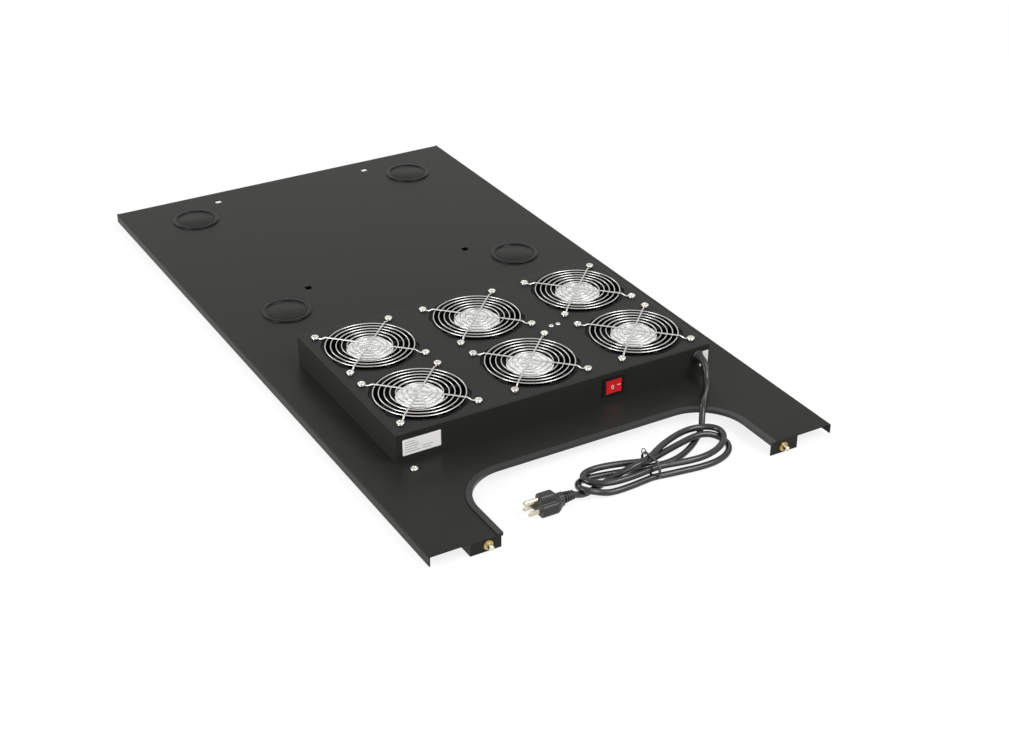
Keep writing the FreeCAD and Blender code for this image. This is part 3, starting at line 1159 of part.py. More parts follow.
def latch_parts():
    """Two spring latches in the front tabs and two fixed pins in the rear tabs."""
    facing = (1, 0, 0)
    face_y = front_edge
    bush = S.latch_bush / 2
    bore = S.latch_bore / 2
    guide = S.latch_guide / 2
    nose = S.latch_nose / 2
    stem = S.latch_stem / 2
    flange = S.latch_flange_thickness
    shell = solid_of_turning([
        (guide + S.latch_play, flange), (S.latch_flange / 2, flange), (S.latch_flange / 2, 0),
        (bush, 0), (bush, -S.latch_bush_length), (bore, -S.latch_bush_length),
        (bore, flange - S.latch_front_wall), (guide + S.latch_play, flange - S.latch_front_wall)])
    collar_top = flange - S.latch_front_wall
    collar_foot = collar_top - S.latch_collar_length
    knob_top = -(S.latch_bush_length + 0.3)
    pin = solid_of_turning([
        (0, flange + S.latch_nose_length), (nose - S.latch_nose_chamfer, flange + S.latch_nose_length),
        (nose, flange + S.latch_nose_length - S.latch_nose_chamfer), (nose, flange),
        (guide, flange), (guide, collar_top), (bore - S.latch_play, collar_top),
        (bore - S.latch_play, collar_foot), (stem, collar_foot), (stem, knob_top),
        (S.latch_knob / 2, knob_top), (S.latch_knob / 2, knob_top - S.latch_knob_length),
        (0, knob_top - S.latch_knob_length)])
    cap_top = S.latch_cap - S.latch_bush_length
    cap = solid_of_turning([
        (stem + S.latch_play, cap_top), (bore, cap_top), (bore, -S.latch_bush_length),
        (stem + S.latch_play, -S.latch_bush_length)])
    nut = hexagon_nut(S.latch_nut_flats, S.latch_nut_height, S.latch_bush)
    room = number_of(collar_foot) - number_of(cap_top)
    wire = number_of(S.spring_wire)
    coil = bore.number - number_of(S.spring_play) - wire / 2
    turns = number_of(S.spring_turns)
    helix = Part.makeHelix((room - wire) / turns, room - wire, coil)
    hexagon = [FreeCAD.Vector(coil + wire / 2 * math.cos(math.radians(60 * n)), 0,
                              wire / 2 * math.sin(math.radians(60 * n))) for n in range(7)]
    section = Part.makePolygon(hexagon)
    spring = Part.Wire(helix).makePipeShell([section], True, True)
    spring.translate(FreeCAD.Vector(0, 0, number_of(cap_top) + wire / 2))
    spots = {"left": spot_at(-S.latch_side, face_y, S.latch_height, facing, 90),
             "right": spot_at(S.latch_side, face_y, S.latch_height, facing, 90)}
    for side, spot in spots.items():
        group_of(shell, "latch_bush_" + side, [spot])
        group_of(pin, "latch_pin_" + side, [spot])
        group_of(spring, "latch_spring_" + side, [spot])
    group_of(cap, "latch_caps", list(spots.values()))
    nut_spots = [spot_at(S.latch_side * side, front_edge + S.panel_sheet + S.latch_nut_height,
                         S.latch_height, facing, 90) for side in (-1, 1)]
    group_of(nut, "latch_nuts", nut_spots)
    fixed = solid_of_turning([
        (0, flange + S.latch_nose_length), (nose - S.latch_nose_chamfer, flange + S.latch_nose_length),
        (nose, flange + S.latch_nose_length - S.latch_nose_chamfer), (nose, flange),
        (S.latch_flange / 2, flange), (S.latch_flange / 2, 0), (bush, 0),
        (bush, -S.panel_sheet - 0.5), (0, -S.panel_sheet - 0.5)])
    group_of(fixed, "rear_pins", [spot_at(S.latch_side * side, rear_edge, S.latch_height, facing, -90)
                                  for side in (-1, 1)])


roof_panel()
fan_box()
fan_plate()
edge_trim()
hole_plugs()
masters = {"fan_frame": fan_frame(), "fan_rotor": fan_rotor()}
doc.recompute()
masters["finger_guard"] = finger_guard()
for kind, master in masters.items():
    height = box_top if kind == "finger_guard" else fan_top
    for name, (centre_x, centre_y) in fan_centres.items():
        if name != "front_left":
            copy_of(master, "%s_%s" % (kind, name), centre_x, centre_y, height)
motor_brackets()
motor_inner_parts()
fasteners()
terminal_block()
switch_parts()
cord_bushing()
cord_parts()
plug_parts()
latch_parts()
doc.recompute()

for item in doc.Objects:
    if "Invalid" in item.State or "Error" in item.State:
        raise RuntimeError("%s did not rebuild: %s" % (item.Label, item.State))
for item in kept_parts:
    if item.Shape.isNull() or not item.Shape.isValid():
        raise RuntimeError("%s has no valid shape" % item.Label)
for item in kept_parts:
    item.Shape.exportStep("parts/%s.step" % item.Label)
print("%d parts" % len(kept_parts))
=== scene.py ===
"""Looks for the rack fan tray: a black cabinet roof panel with a six-fan extractor box.

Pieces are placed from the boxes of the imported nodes, in metres, and each rides on a named body. The cord's
route, the films on the box front and the rocker's marks stand at places typed here in millimetres.
"""

import logging
import math
from dataclasses import dataclass
from enum import Enum
from typing import Iterable, Sequence

import bpy
import numpy as np
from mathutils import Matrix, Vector


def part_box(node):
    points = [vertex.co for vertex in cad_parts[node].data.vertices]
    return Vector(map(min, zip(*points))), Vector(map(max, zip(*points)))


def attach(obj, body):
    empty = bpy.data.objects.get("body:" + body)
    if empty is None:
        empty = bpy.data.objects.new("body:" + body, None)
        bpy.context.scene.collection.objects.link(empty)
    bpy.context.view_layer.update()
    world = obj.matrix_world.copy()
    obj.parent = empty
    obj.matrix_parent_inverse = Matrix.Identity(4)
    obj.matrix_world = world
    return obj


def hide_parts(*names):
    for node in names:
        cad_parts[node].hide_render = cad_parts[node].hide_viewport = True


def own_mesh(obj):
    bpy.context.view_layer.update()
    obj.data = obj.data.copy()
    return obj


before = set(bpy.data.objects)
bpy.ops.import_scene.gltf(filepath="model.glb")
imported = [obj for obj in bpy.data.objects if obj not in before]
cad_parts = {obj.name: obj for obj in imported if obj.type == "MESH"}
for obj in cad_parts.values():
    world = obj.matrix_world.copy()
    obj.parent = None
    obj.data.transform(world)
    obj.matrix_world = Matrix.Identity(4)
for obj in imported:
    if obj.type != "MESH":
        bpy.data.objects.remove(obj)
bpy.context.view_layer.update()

logging.basicConfig(level=logging.INFO, format="%(message)s")
LOG = logging.getLogger("fan_tray")

MM = 0.001
TRAY = "tray"
FANS = [f"{row}_{column}" for row in ("front", "rear") for column in ("left", "centre", "right")]
CORD_DIAMETER = 8 * MM

# The route of the mains cord, in millimetres: down from the bushing, then the tied hank, then the plug.
CORD_DROP = [
    (204, -336.5, 45.8), (204, -345.5, 45.8), (202.3, -353, 41), (199.5, -359.5, 33),
    (195.5, -366.5, 26.5), (188, -376.5, 23.6), (177.5, -388.5, 25), (166.2, -402, 30.4),
    (156.2, -413.5, 31), (148, -424, 23), (141.5, -433, 11.5), (131.5, -440, 5.2)]
CORD_HANK = [
    (110.1, -454.8, 4.1), (88.2, -465.2, 4.1), (67.8, -469.1, 4.1), (50.9, -466.9, 4.1),
    (40.9, -465.1, 4.1), (28.5, -462.5, 4.1), (11.8, -459.2, 4.1), (-7.2, -454.7, 4.1),
    (-23.6, -451.3, 4.1), (-37.7, -450.0, 4.5), (-50.4, -455.9, 7.5), (-58.9, -467.2, 10.5),
    (-57.8, -479.1, 12.6), (-46.8, -486.0, 10.5), (-30.8, -488.4, 4.6), (-14.4, -489.6, 4.1),
    (5.1, -488.9, 4.1), (22.0, -487.2, 4.1), (35.3, -486.1, 4.1), (51.4, -489.4, 4.1),
    (71.7, -492.2, 4.1), (94.8, -495.8, 4.1), (116.6, -496.0, 4.1), (134.9, -491.0, 4.1),
    (148.6, -481.3, 4.1), (155.1, -468.6, 4.6), (152.9, -457.0, 6.5), (144.1, -450.5, 10.5),
    (132.0, -447.0, 12.4), (118.5, -446.6, 12.3), (96.8, -451.0, 12.2), (75.5, -456.1, 12.2),
    (56.1, -461.0, 12.0), (43.6, -463.0, 11.6), (30.7, -459.7, 11.6), (14.8, -454.2, 12.0),
    (-4.1, -449.6, 12.4), (-21.2, -447.1, 12.6), (-35.9, -448.6, 12.8), (-46.0, -456.0, 13.5),
    (-45.5, -467.6, 13.0), (-34.7, -476.6, 12.2), (-18.9, -481.9, 12.0), (0.6, -482.8, 11.8),
    (18.4, -481.8, 11.6), (31.8, -480.4, 11.6), (47.9, -480.0, 11.8), (65.6, -484.2, 12.2),
    (86.3, -488.9, 12.4), (106.8, -489.5, 12.4), (126.2, -485.1, 12.5), (143.2, -475.3, 12.8),
    (153.6, -462.1, 14.5), (153.5, -449.7, 15.5), (144.8, -440.9, 16.0), (131.8, -435.9, 16.0),
    (114.1, -435.2, 16.2), (91.3, -442.1, 17.5), (64.4, -454.4, 19.3), (41.0, -468.5, 19.4),
    (20.4, -474.2, 19.6), (4.4, -473.5, 17.0), (-8.8, -470.0, 10.0), (-23.7, -468.6, 4.6),
    (-38.7, -472.6, 4.2), (-55.0, -476.6, 4.4), (-66.0, -479.0, 8.5), (-73.0, -480.0, 12.0)]


def linear(colour: str) -> tuple[float, float, float, float]:
    """Turns an sRGB hex colour into linear RGBA.

    Args:
        colour: a colour such as "#3a3b36".

    Returns:
        Red, green, blue and an alpha of 1, as shaders take them.
    """
    raw = [int(colour[i:i + 2], 16) / 255 for i in (1, 3, 5)]
    shades = [c / 12.92 if c <= 0.04045 else ((c + 0.055) / 1.055) ** 2.4 for c in raw]
    return (*shades, 1.0)


def add_node(tree: bpy.types.NodeTree, kind: str, links: dict | None = None,
             fields: dict | None = None, **sockets) -> bpy.types.Node:
    """Adds a shader node, sets its fields and sockets, and links its inputs.

    Args:
        tree: the node tree to add to.
        kind: the node's type, such as "ShaderNodeTexNoise".
        links: input socket name or index to the output socket that feeds it.
        fields: node properties to set.
        sockets: input values by name, with spaces written as underscores.

    Returns:
        The new node.
    """
    made = tree.nodes.new(kind)
    for field, content in (fields or {}).items():
        setattr(made, field, content)
    for socket, content in sockets.items():
        made.inputs[socket.replace("_", " ")].default_value = content
    for socket, source in (links or {}).items():
        tree.links.new(source, made.inputs[socket])
    return made


class Surface(Enum):
    """How a surface was made, which sets its pattern."""

    POWDER = "powder coat, a fine orange peel"
    MOULDED = "spark-eroded mould texture"
    SMOOTH = "polished mould or jacket"
    DRAWN = "drawn and plated wire"
    TURNED = "turned or rolled and plated metal"
    FOIL = "thin foil laid by hand"
    PAPER = "printed film"
    CAST = "die casting under paint"


@dataclass(frozen=True)
class Finish:
    """One real material and how it was made."""

    name: str
    colour: str
    surface: Surface
    roughness: float
    metallic: float = 0.0
    specular: float = 0.5
    coat: float = 0.0
    grain_mm: float = 0.6
    relief_mm: float = 0.02
    mottle: float = 0.06
    blush: str | None = None

    def build(self) -> bpy.types.Material:
        """Makes the node material.

        Returns:
            The material, with colour variation, roughness variation and relief in millimetres.
        """
        material = bpy.data.materials.new(self.name)
        material.use_nodes = True
        tree = material.node_tree
        shader = next(n for n in tree.nodes if n.type == "BSDF_PRINCIPLED")
        shader.inputs["Metallic"].default_value = self.metallic
        shader.inputs["Specular IOR Level"].default_value = self.specular
        shader.inputs["Coat Weight"].default_value = self.coat
        shader.inputs["Coat Roughness"].default_value = 0.12
        place = add_node(tree, "ShaderNodeTexCoord").outputs["Object"]
        if self.surface in (Surface.DRAWN, Surface.TURNED):
            place = add_node(tree, "ShaderNodeMapping", {"Vector": place},
                             Scale=(1.0, 1.0, 3.0)).outputs["Vector"]
        fine = add_node(tree, "ShaderNodeTexNoise", {"Vector": place},
                        Scale=1 / (self.grain_mm * MM), Detail=2.0, Roughness=0.55)
        broad = add_node(tree, "ShaderNodeTexNoise", {"Vector": place},
                         Scale=14.0, Detail=3.0, Roughness=0.6)
        base = linear(self.colour)
        darker = tuple(c * (1 - self.mottle * 2) for c in base[:3]) + (1.0,)
        lighter = linear(self.blush) if self.blush else tuple(
            min(1.0, c * (1 + self.mottle * 2)) for c in base[:3]) + (1.0,)
        shade = add_node(tree, "ShaderNodeValToRGB", {"Fac": broad.outputs["Fac"]})
        shade.color_ramp.elements[0].position, shade.color_ramp.elements[0].color = 0.3, darker
        shade.color_ramp.elements[1].position, shade.color_ramp.elements[1].color = 0.72, lighter
        tree.links.new(shade.outputs["Color"], shader.inputs["Base Color"])
        wear = add_node(tree, "ShaderNodeMapRange", {"Value": broad.outputs["Fac"]},
                        To_Min=max(0.03, self.roughness * 0.86), To_Max=self.roughness * 1.14)
        tree.links.new(wear.outputs["Result"], shader.inputs["Roughness"])
        height = fine.outputs["Fac"]
        if self.surface is Surface.FOIL:
            folds = add_node(tree, "ShaderNodeTexNoise", {"Vector": place},
                             Scale=120.0, Detail=3.0, Roughness=0.6, Distortion=0.6)
            height = add_node(tree, "ShaderNodeMath", {0: fine.outputs["Fac"], 1: folds.outputs["Fac"]},
                              {"operation": "ADD"}).outputs[0]
        relief = add_node(tree, "ShaderNodeBump", {"Height": height},
                          Strength=0.5, Distance=self.relief_mm * MM)
        tree.links.new(relief.outputs["Normal"], shader.inputs["Normal"])
        return material


FINISHES = {finish.name: finish for finish in (
    Finish("black_powder_coated_steel", "#242521", Surface.POWDER, 0.36, specular=0.09,
           grain_mm=0.45, relief_mm=0.014, mottle=0.03),
    Finish("black_powder_coated_box_steel", "#272825", Surface.POWDER, 0.36, specular=0.08,
           grain_mm=0.45, relief_mm=0.014, mottle=0.03),
    Finish("moulded_grey_nylon_disc", "#242521", Surface.MOULDED, 0.4, specular=0.09, grain_mm=0.5,
           relief_mm=0.01, mottle=0.02),
    Finish("extruded_black_vinyl_trim", "#1c1c1c", Surface.SMOOTH, 0.34, specular=0.4, grain_mm=2.0,
           relief_mm=0.01),
    Finish("moulded_black_nylon_cap", "#0c0c0c", Surface.SMOOTH, 0.3, specular=0.16, grain_mm=1.5,
           relief_mm=0.004),
    Finish("painted_die_cast_frame", "#060607", Surface.CAST, 0.5, specular=0.1, grain_mm=0.8,
           relief_mm=0.04),
    Finish("glass_filled_black_impeller", "#080809", Surface.MOULDED, 0.48, specular=0.2, grain_mm=0.4),
    Finish("nickel_plated_drawn_wire", "#c9c8c4", Surface.DRAWN, 0.2, metallic=1.0,
           grain_mm=0.3, relief_mm=0.006, mottle=0.03),
    Finish("silver_foil_label", "#fbfaf7", Surface.FOIL, 0.36, metallic=0.12, specular=0.6,
           grain_mm=0.7, relief_mm=0.03, mottle=0.03),
    Finish("varnished_copper_winding", "#7a3b1c", Surface.DRAWN, 0.35, metallic=0.7, grain_mm=0.4),
    Finish("ground_bearing_steel", "#b9b8b5", Surface.TURNED, 0.22, metallic=1.0, grain_mm=0.3,
           relief_mm=0.004),
    Finish("zinc_plated_screw_steel", "#d6d4cd", Surface.TURNED, 0.26, metallic=1.0, grain_mm=0.3,
           relief_mm=0.01),
    Finish("domed_aluminium_rivet", "#c8c8c4", Surface.TURNED, 0.32, metallic=1.0, grain_mm=0.4),
    Finish("natural_polyamide", "#d9d5c6", Surface.MOULDED, 0.5, grain_mm=0.5),
    Finish("polished_black_switch_plastic", "#141415", Surface.SMOOTH, 0.26, coat=0.2, grain_mm=1.2,
           relief_mm=0.004),
    Finish("translucent_red_rocker_plastic", "#c8141a", Surface.SMOOTH, 0.16, coat=0.6, grain_mm=2.0,
           relief_mm=0.003, blush="#e0252a"),
    Finish("tinned_brass_blade", "#c9b98a", Surface.TURNED, 0.3, metallic=1.0, grain_mm=0.3),
    Finish("moulded_black_nylon_bushing", "#161617", Surface.MOULDED, 0.4, grain_mm=0.4),
    Finish("extruded_black_pvc_jacket", "#141415", Surface.SMOOTH, 0.26, specular=0.55, grain_mm=1.4,
           relief_mm=0.012, mottle=0.04),
    Finish("moulded_black_pvc_plug", "#161617", Surface.MOULDED, 0.4, grain_mm=0.35, relief_mm=0.02),
    Finish("nickel_plated_prong", "#c9c2ad", Surface.TURNED, 0.2, metallic=1.0, grain_mm=0.4,
           relief_mm=0.004),
    Finish("yellow_passivated_zinc", "#b99f6a", Surface.TURNED, 0.3, metallic=1.0, grain_mm=0.3),
    Finish("bright_zinc_pin", "#d9d2bf", Surface.TURNED, 0.2, metallic=1.0, grain_mm=0.3,
           relief_mm=0.005),
    Finish("tempered_spring_wire", "#77777a", Surface.DRAWN, 0.35, metallic=1.0, grain_mm=0.3),
    Finish("white_label_film", "#eceae6", Surface.PAPER, 0.42, grain_mm=0.3, relief_mm=0.004,
           mottle=0.015),
    Finish("printed_grey_rule", "#77797c", Surface.PAPER, 0.5, grain_mm=0.3, mottle=0.01),
    Finish("printed_white_mark", "#f0efec", Surface.PAPER, 0.5, grain_mm=0.3, mottle=0.01),
)}
_built: dict[str, bpy.types.Material] = {}


def finish(name: str) -> bpy.types.Material:
    """Gives a finish's material, building it the first time.

    Args:
        name: the finish's name.

    Returns:
        The shared material.
    """
    if name not in _built:
        _built[name] = FINISHES[name].build()
    return _built[name]


NODE_FINISHES = {
    "roof_panel": "black_powder_coated_steel", "fan_box": "black_powder_coated_box_steel",
    "fan_plate": "black_powder_coated_box_steel", "motor_brackets": "painted_die_cast_frame",
    "edge_trim": "extruded_black_vinyl_trim", "hole_plug": "moulded_black_nylon_cap",
    "fan_frame": "painted_die_cast_frame", "fan_rotor": "glass_filled_black_impeller",
    "finger_guard": "nickel_plated_drawn_wire", "motor_labels": "silver_foil_label",
    "motor_stators": "varnished_copper_winding", "motor_bearings": "ground_bearing_steel",
    "guard_screws": "zinc_plated_screw_steel", "guard_nuts": "zinc_plated_screw_steel",
    "box_screws": "zinc_plated_screw_steel", "box_nuts": "zinc_plated_screw_steel",
    "earth_": "zinc_plated_screw_steel", "top_rivets": "domed_aluminium_rivet",
    "terminal_block": "natural_polyamide", "switch_housing": "polished_black_switch_plastic",
    "switch_rocker": "translucent_red_rocker_plastic", "switch_blades": "tinned_brass_blade",
    "cord_bushing": "moulded_black_nylon_bushing", "power_cord": "extruded_black_pvc_jacket",
    "cord_hank": "extruded_black_pvc_jacket", "plug_lead": "extruded_black_pvc_jacket",
    "hank_tie": "polished_black_switch_plastic", "plug_body": "moulded_black_pvc_plug",
    "plug_prongs": "nickel_plated_prong", "latch_bush": "yellow_passivated_zinc",
    "latch_caps": "yellow_passivated_zinc", "latch_nuts": "zinc_plated_screw_steel",
    "latch_pin": "bright_zinc_pin", "latch_spring": "tempered_spring_wire",
    "rear_pins": "bright_zinc_pin"}


def coat_nodes() -> None:
    """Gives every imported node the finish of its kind."""
    for name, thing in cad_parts.items():
        chosen = next(label for start, label in NODE_FINISHES.items() if name.startswith(start))
        thing.data.materials.clear()
        thing.data.materials.append(finish(chosen))
    LOG.info("coated %d nodes", len(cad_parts))


def corners(node: str) -> tuple[np.ndarray, np.ndarray]:
    """The lowest and highest corners of a node at rest, as arrays in metres."""
    low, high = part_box(node)
    return np.array(low, float), np.array(high, float)


def centre(node: str) -> np.ndarray:
    """The middle of a node's box, in metres."""
    low, high = corners(node)
    return (low + high) / 2


Mesh = tuple[np.ndarray, list]


def join(parts: Iterable[Mesh]) -> Mesh:
    """Joins point-and-face pairs into one, shifting the face numbers."""
    points, faces, base = [], [], 0
    for some_points, some_faces in parts:
        points.append(some_points)
        faces.extend([tuple(int(i) + base for i in face) for face in some_faces])
        base += len(some_points)
    return np.concatenate(points), faces


def shifted(part: Mesh, offset: Sequence[float]) -> Mesh:
    """The same part moved by an offset."""
    return part[0] + np.asarray(offset, float), part[1]


def grid_faces(rows: int, columns: int, wrap_rows: bool, wrap_columns: bool) -> list:
    """Quads over a grid of points stored row by row, closed round where asked."""
    r = np.arange(rows if wrap_rows else rows - 1)
    c = np.arange(columns if wrap_columns else columns - 1)
    a, b = np.meshgrid(r, c, indexing="ij")
    a, b = a.ravel(), b.ravel()
    a2, b2 = (a + 1) % rows, (b + 1) % columns
    return np.stack([a * columns + b, a2 * columns + b, a2 * columns + b2,
                     a * columns + b2], axis=1).tolist()


def turned(profile: Sequence[tuple[float, float]], steps: int = 64) -> Mesh:
    """A full turn about Z of an outline of radius and height pairs, with a cap at each end."""
    outline = np.array(profile, float)
    angle = np.linspace(0, 2 * math.pi, steps, endpoint=False)
    radius, height = outline[:, 0][:, None], outline[:, 1][:, None]
    points = np.stack([radius * np.cos(angle), radius * np.sin(angle),
                       np.broadcast_to(height, (len(outline), steps))], axis=2).reshape(-1, 3)
    faces = grid_faces(len(outline), steps, False, True)
    faces.append(tuple(range(steps))[::-1])
    faces.append(tuple(range((len(outline) - 1) * steps, len(outline) * steps)))
    return points, faces


def tube(path: np.ndarray, radius: float | np.ndarray, sides: int = 12, closed: bool = False) -> Mesh:
    """A round tube about a path.

    The section's frame is carried along the path without twist: at each point the last side
    direction is made square to the new tangent.

    Args:
        path: the centreline's points, in metres.
        radius: one radius, or one for each point.
        sides: how many corners the section has.
        closed: whether the path joins its own start.

    Returns:
        The tube's points and faces, with capped ends unless it is closed.
    """
    ahead = np.roll(path, -1, axis=0) - np.roll(path, 1, axis=0)
    if not closed:
        ahead[0], ahead[-1] = path[1] - path[0], path[-1] - path[-2]
    ahead /= np.linalg.norm(ahead, axis=1)[:, None]
    side = np.cross(ahead[0], (0, 0, 1.0))
    if np.linalg.norm(side) < 1e-3:
        side = np.cross(ahead[0], (0, 1.0, 0))
    sides_at = []
    for tangent in ahead:
        side = side - tangent * side.dot(tangent)
        side = side / np.linalg.norm(side)
        sides_at.append(side)
    across = np.array(sides_at)
    up = np.cross(across, ahead)
    angle = np.linspace(0, 2 * math.pi, sides, endpoint=False)
    reach = np.broadcast_to(np.asarray(radius, float), (len(path),))[:, None, None]
    ring = across[:, None] * np.cos(angle)[None, :, None] + up[:, None] * np.sin(angle)[None, :, None]
    points = (path[:, None] + ring * reach).reshape(-1, 3)
    faces = grid_faces(len(path), sides, closed, True)
    if not closed:
        faces += [tuple(range(sides)), tuple(range((len(path) - 1) * sides, len(path) * sides))[::-1]]
    return points, faces


def make_piece(name: str, parts: Sequence[tuple[Mesh, str]], body: str,
               replaced: Sequence[str] = (), smooth_under: float = 40.0) -> bpy.types.Object:
    """Makes one mesh object from parts, each with its own finish, and hands it to its body.

    Args:
        name: the piece's name.
        parts: points and faces in the row frame, each with the name of its finish.
        body: the body it rides on.
        replaced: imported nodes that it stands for.
        smooth_under: edges flatter than this angle are shaded smooth, in degrees.

    Returns:
        The new object, at the origin.
    """
    points, faces = join(part for part, _ in parts)
    mesh = bpy.data.meshes.new(name)
    mesh.from_pydata(points.tolist(), [], faces)
    labels = list(dict.fromkeys(label for _, label in parts))
    for label in labels:
        mesh.materials.append(finish(label))
    index = np.concatenate([np.full(len(part[1]), labels.index(label), dtype=np.int32)
                            for part, label in parts])
    mesh.polygons.foreach_set("material_index", index)
    mesh.validate()
    thing = bpy.data.objects.new(name, mesh)
    bpy.context.scene.collection.objects.link(thing)
    mesh.shade_smooth()
    mesh.set_sharp_from_angle(angle=math.radians(smooth_under))
    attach(thing, body)
    if replaced:
        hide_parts(*replaced)
    LOG.info("%s: %d points", name, len(points))
    return thing


def rounded_plate(centre_at: Sequence[float], half: tuple[float, float], radius: float,
                  thick: float, along: Sequence[float], up: Sequence[float]) -> Mesh:
    """A thin plate with round corners, standing out along the normal of its two axes."""
    across, rise = np.array(along, float), np.array(up, float)
    out = np.cross(across, rise)
    quarter = np.linspace(0, math.pi / 2, 7)
    rim = []
    for k, (sx, sy) in enumerate(((1, 1), (-1, 1), (-1, -1), (1, -1))):
        angle = quarter + k * math.pi / 2
        rim.append(np.stack([sx * (half[0] - radius) + radius * np.cos(angle),
                             sy * (half[1] - radius) + radius * np.sin(angle)], axis=1))
    flat = np.concatenate(rim)
    base = np.array(centre_at, float) + flat[:, :1] * across + flat[:, 1:] * rise
    points = np.concatenate([base, base + out * thick])
    count = len(flat)
    faces = [tuple(range(count, 2 * count)), tuple(range(count))[::-1]]
    faces += [(i, (i + 1) % count, count + (i + 1) % count, count + i) for i in range(count)]
    return points, faces


@dataclass
class Studio:
    """The camera, the lamps and the pale surroundings."""

    eye: tuple[float, float, float] = (-0.9584, -1.8622, 1.1129)
    forward: tuple[float, float, float] = (0.43220, 0.75169, -0.49816)
    focal_px: float = 1715.4
    frame_px: int = 1009
    sensor_mm: float = 36.0
    floor_reach: float = 12.0
    # painted shade: the floor's reach under the tray, which gets a darker face without glow
    painted_shade_x: tuple[float, float] = (-0.255, 0.255)
    painted_shade_y: tuple[float, float] = (-0.375, 0.495)

    def build(self) -> None:
        """Makes the camera, then the lamps, the world and the floor."""
        scene = bpy.context.scene
        scene.view_settings.view_transform = "Standard"
        lens = bpy.data.cameras.new("studio_camera")
        lens.sensor_width = self.sensor_mm
        lens.lens = self.focal_px / self.frame_px * self.sensor_mm
        lens.clip_end = 50.0
        camera = bpy.data.objects.new("studio_camera", lens)
        camera.location = self.eye
        camera.rotation_mode = "QUATERNION"
        camera.rotation_quaternion = Vector(self.forward).to_track_quat("-Z", "Y")
        scene.collection.objects.link(camera)
        scene.camera = camera
        self._world(scene)
        self._lamps(scene)
        self._floor(scene)

    @staticmethod
    def _seen(tree: bpy.types.NodeTree) -> bpy.types.NodeSocket:
        """One where a camera, glossy or transmission ray looks, else zero."""
        rays = add_node(tree, "ShaderNodeLightPath")
        glossy = add_node(tree, "ShaderNodeMath", {0: rays.outputs["Is Glossy Ray"],
                                                   1: rays.outputs["Is Transmission Ray"]},
                          {"operation": "MAXIMUM"})
        return add_node(tree, "ShaderNodeMath", {0: rays.outputs["Is Camera Ray"], 1: glossy.outputs[0]},
                        {"operation": "MAXIMUM"}).outputs[0]

    def _world(self, scene: bpy.types.Scene) -> None:
        """A pale surround that shows as white and lights the part gently."""
        world = bpy.data.worlds.new("pale_surround")
        world.use_nodes = True
        tree = world.node_tree
        tree.nodes.clear()
        fill = add_node(tree, "ShaderNodeBackground", Color=linear("#f4f6fa"), Strength=0.62)
        shown = add_node(tree, "ShaderNodeBackground", Color=linear("#ffffff"), Strength=1.0)
        mixed = add_node(tree, "ShaderNodeMixShader", {0: self._seen(tree), 1: fill.outputs[0],
                                                       2: shown.outputs[0]})
        add_node(tree, "ShaderNodeOutputWorld", {"Surface": mixed.outputs[0]})
        scene.world = world

    def _lamps(self, scene: bpy.types.Scene) -> None:
        """Four soft boxes: high at the front right, which lines the bends, left, low in front, and rear."""
        lamps = (("front_box", (1.15, -1.9, 2.3), (0.0, -0.1, 0), 1.3, 46.0),
                 ("left_box", (-2.3, -0.5, 0.8), (0, 0, 0.05), 1.1, 34.0),
                 ("low_front_box", (0.1, -2.7, 0.95), (0, 0, 0.05), 1.0, 13.0),
                 ("rear_box", (-1.3, 2.5, 1.7), (0, 0.1, 0), 0.9, 12.0))
        for name, spot, aim, size, power in lamps:
            light = bpy.data.lights.new(name, "AREA")
            light.shape, light.size, light.energy = "SQUARE", size, power
            lamp = bpy.data.objects.new(name, light)
            lamp.location = spot
            lamp.rotation_mode = "QUATERNION"
            lamp.rotation_quaternion = (Vector(aim) - Vector(spot)).to_track_quat("-Z", "Y")
            scene.collection.objects.link(lamp)

    def _floor(self, scene: bpy.types.Scene) -> None:
        """A pale floor that keeps a faint shadow, with one face under the tray given painted shade.

        That face is a darker diffuse without the glow, painted shade for the floor under the tray, which also
        keeps the floor's glow from showing through the fans.
        """
        mesh = bpy.data.meshes.new("studio_floor")
        rows = [-self.floor_reach, *self.painted_shade_y, self.floor_reach]
        columns = [-self.floor_reach, *self.painted_shade_x, self.floor_reach]
        points = [(x, y, 0.0) for y in rows for x in columns]
        faces = [(4 * j + i, 4 * j + i + 1, 4 * j + i + 5, 4 * j + i + 4) for j in range(3) for i in range(3)]
        mesh.from_pydata(points, [], faces)
        floor = bpy.data.objects.new("studio_floor", mesh)
        scene.collection.objects.link(floor)
        material = bpy.data.materials.new("pale_paper_floor")
        material.use_nodes = True
        tree = material.node_tree
        tree.nodes.clear()
        glow = add_node(tree, "ShaderNodeEmission", Color=linear("#ffffff"), Strength=0.82)
        matt = add_node(tree, "ShaderNodeBsdfDiffuse", Color=linear("#7b7b7b"))
        pale = add_node(tree, "ShaderNodeBsdfDiffuse", Color=linear("#bcbcbc"))
        shown = add_node(tree, "ShaderNodeAddShader", {0: glow.outputs[0], 1: matt.outputs[0]})
        mixed = add_node(tree, "ShaderNodeMixShader", {0: self._seen(tree), 1: pale.outputs[0],
                                                       2: shown.outputs[0]})
        add_node(tree, "ShaderNodeOutputMaterial", {"Surface": mixed.outputs[0]})
        shaded = bpy.data.materials.new("shaded_paper_floor")
        shaded.use_nodes = True
        shaded.node_tree.nodes.clear()
        # painted shade for the floor under the tray: a darker diffuse with no glow
        painted_shade_bsdf = add_node(shaded.node_tree, "ShaderNodeBsdfDiffuse", Color=linear("#8a8a8a"))
        add_node(shaded.node_tree, "ShaderNodeOutputMaterial", {"Surface": painted_shade_bsdf.outputs[0]})
        mesh.materials.append(material)
        mesh.materials.append(shaded)
        # the middle face lies under the tray and carries the painted shade
        middle_face = 4
        mesh.polygons[middle_face].material_index = 1


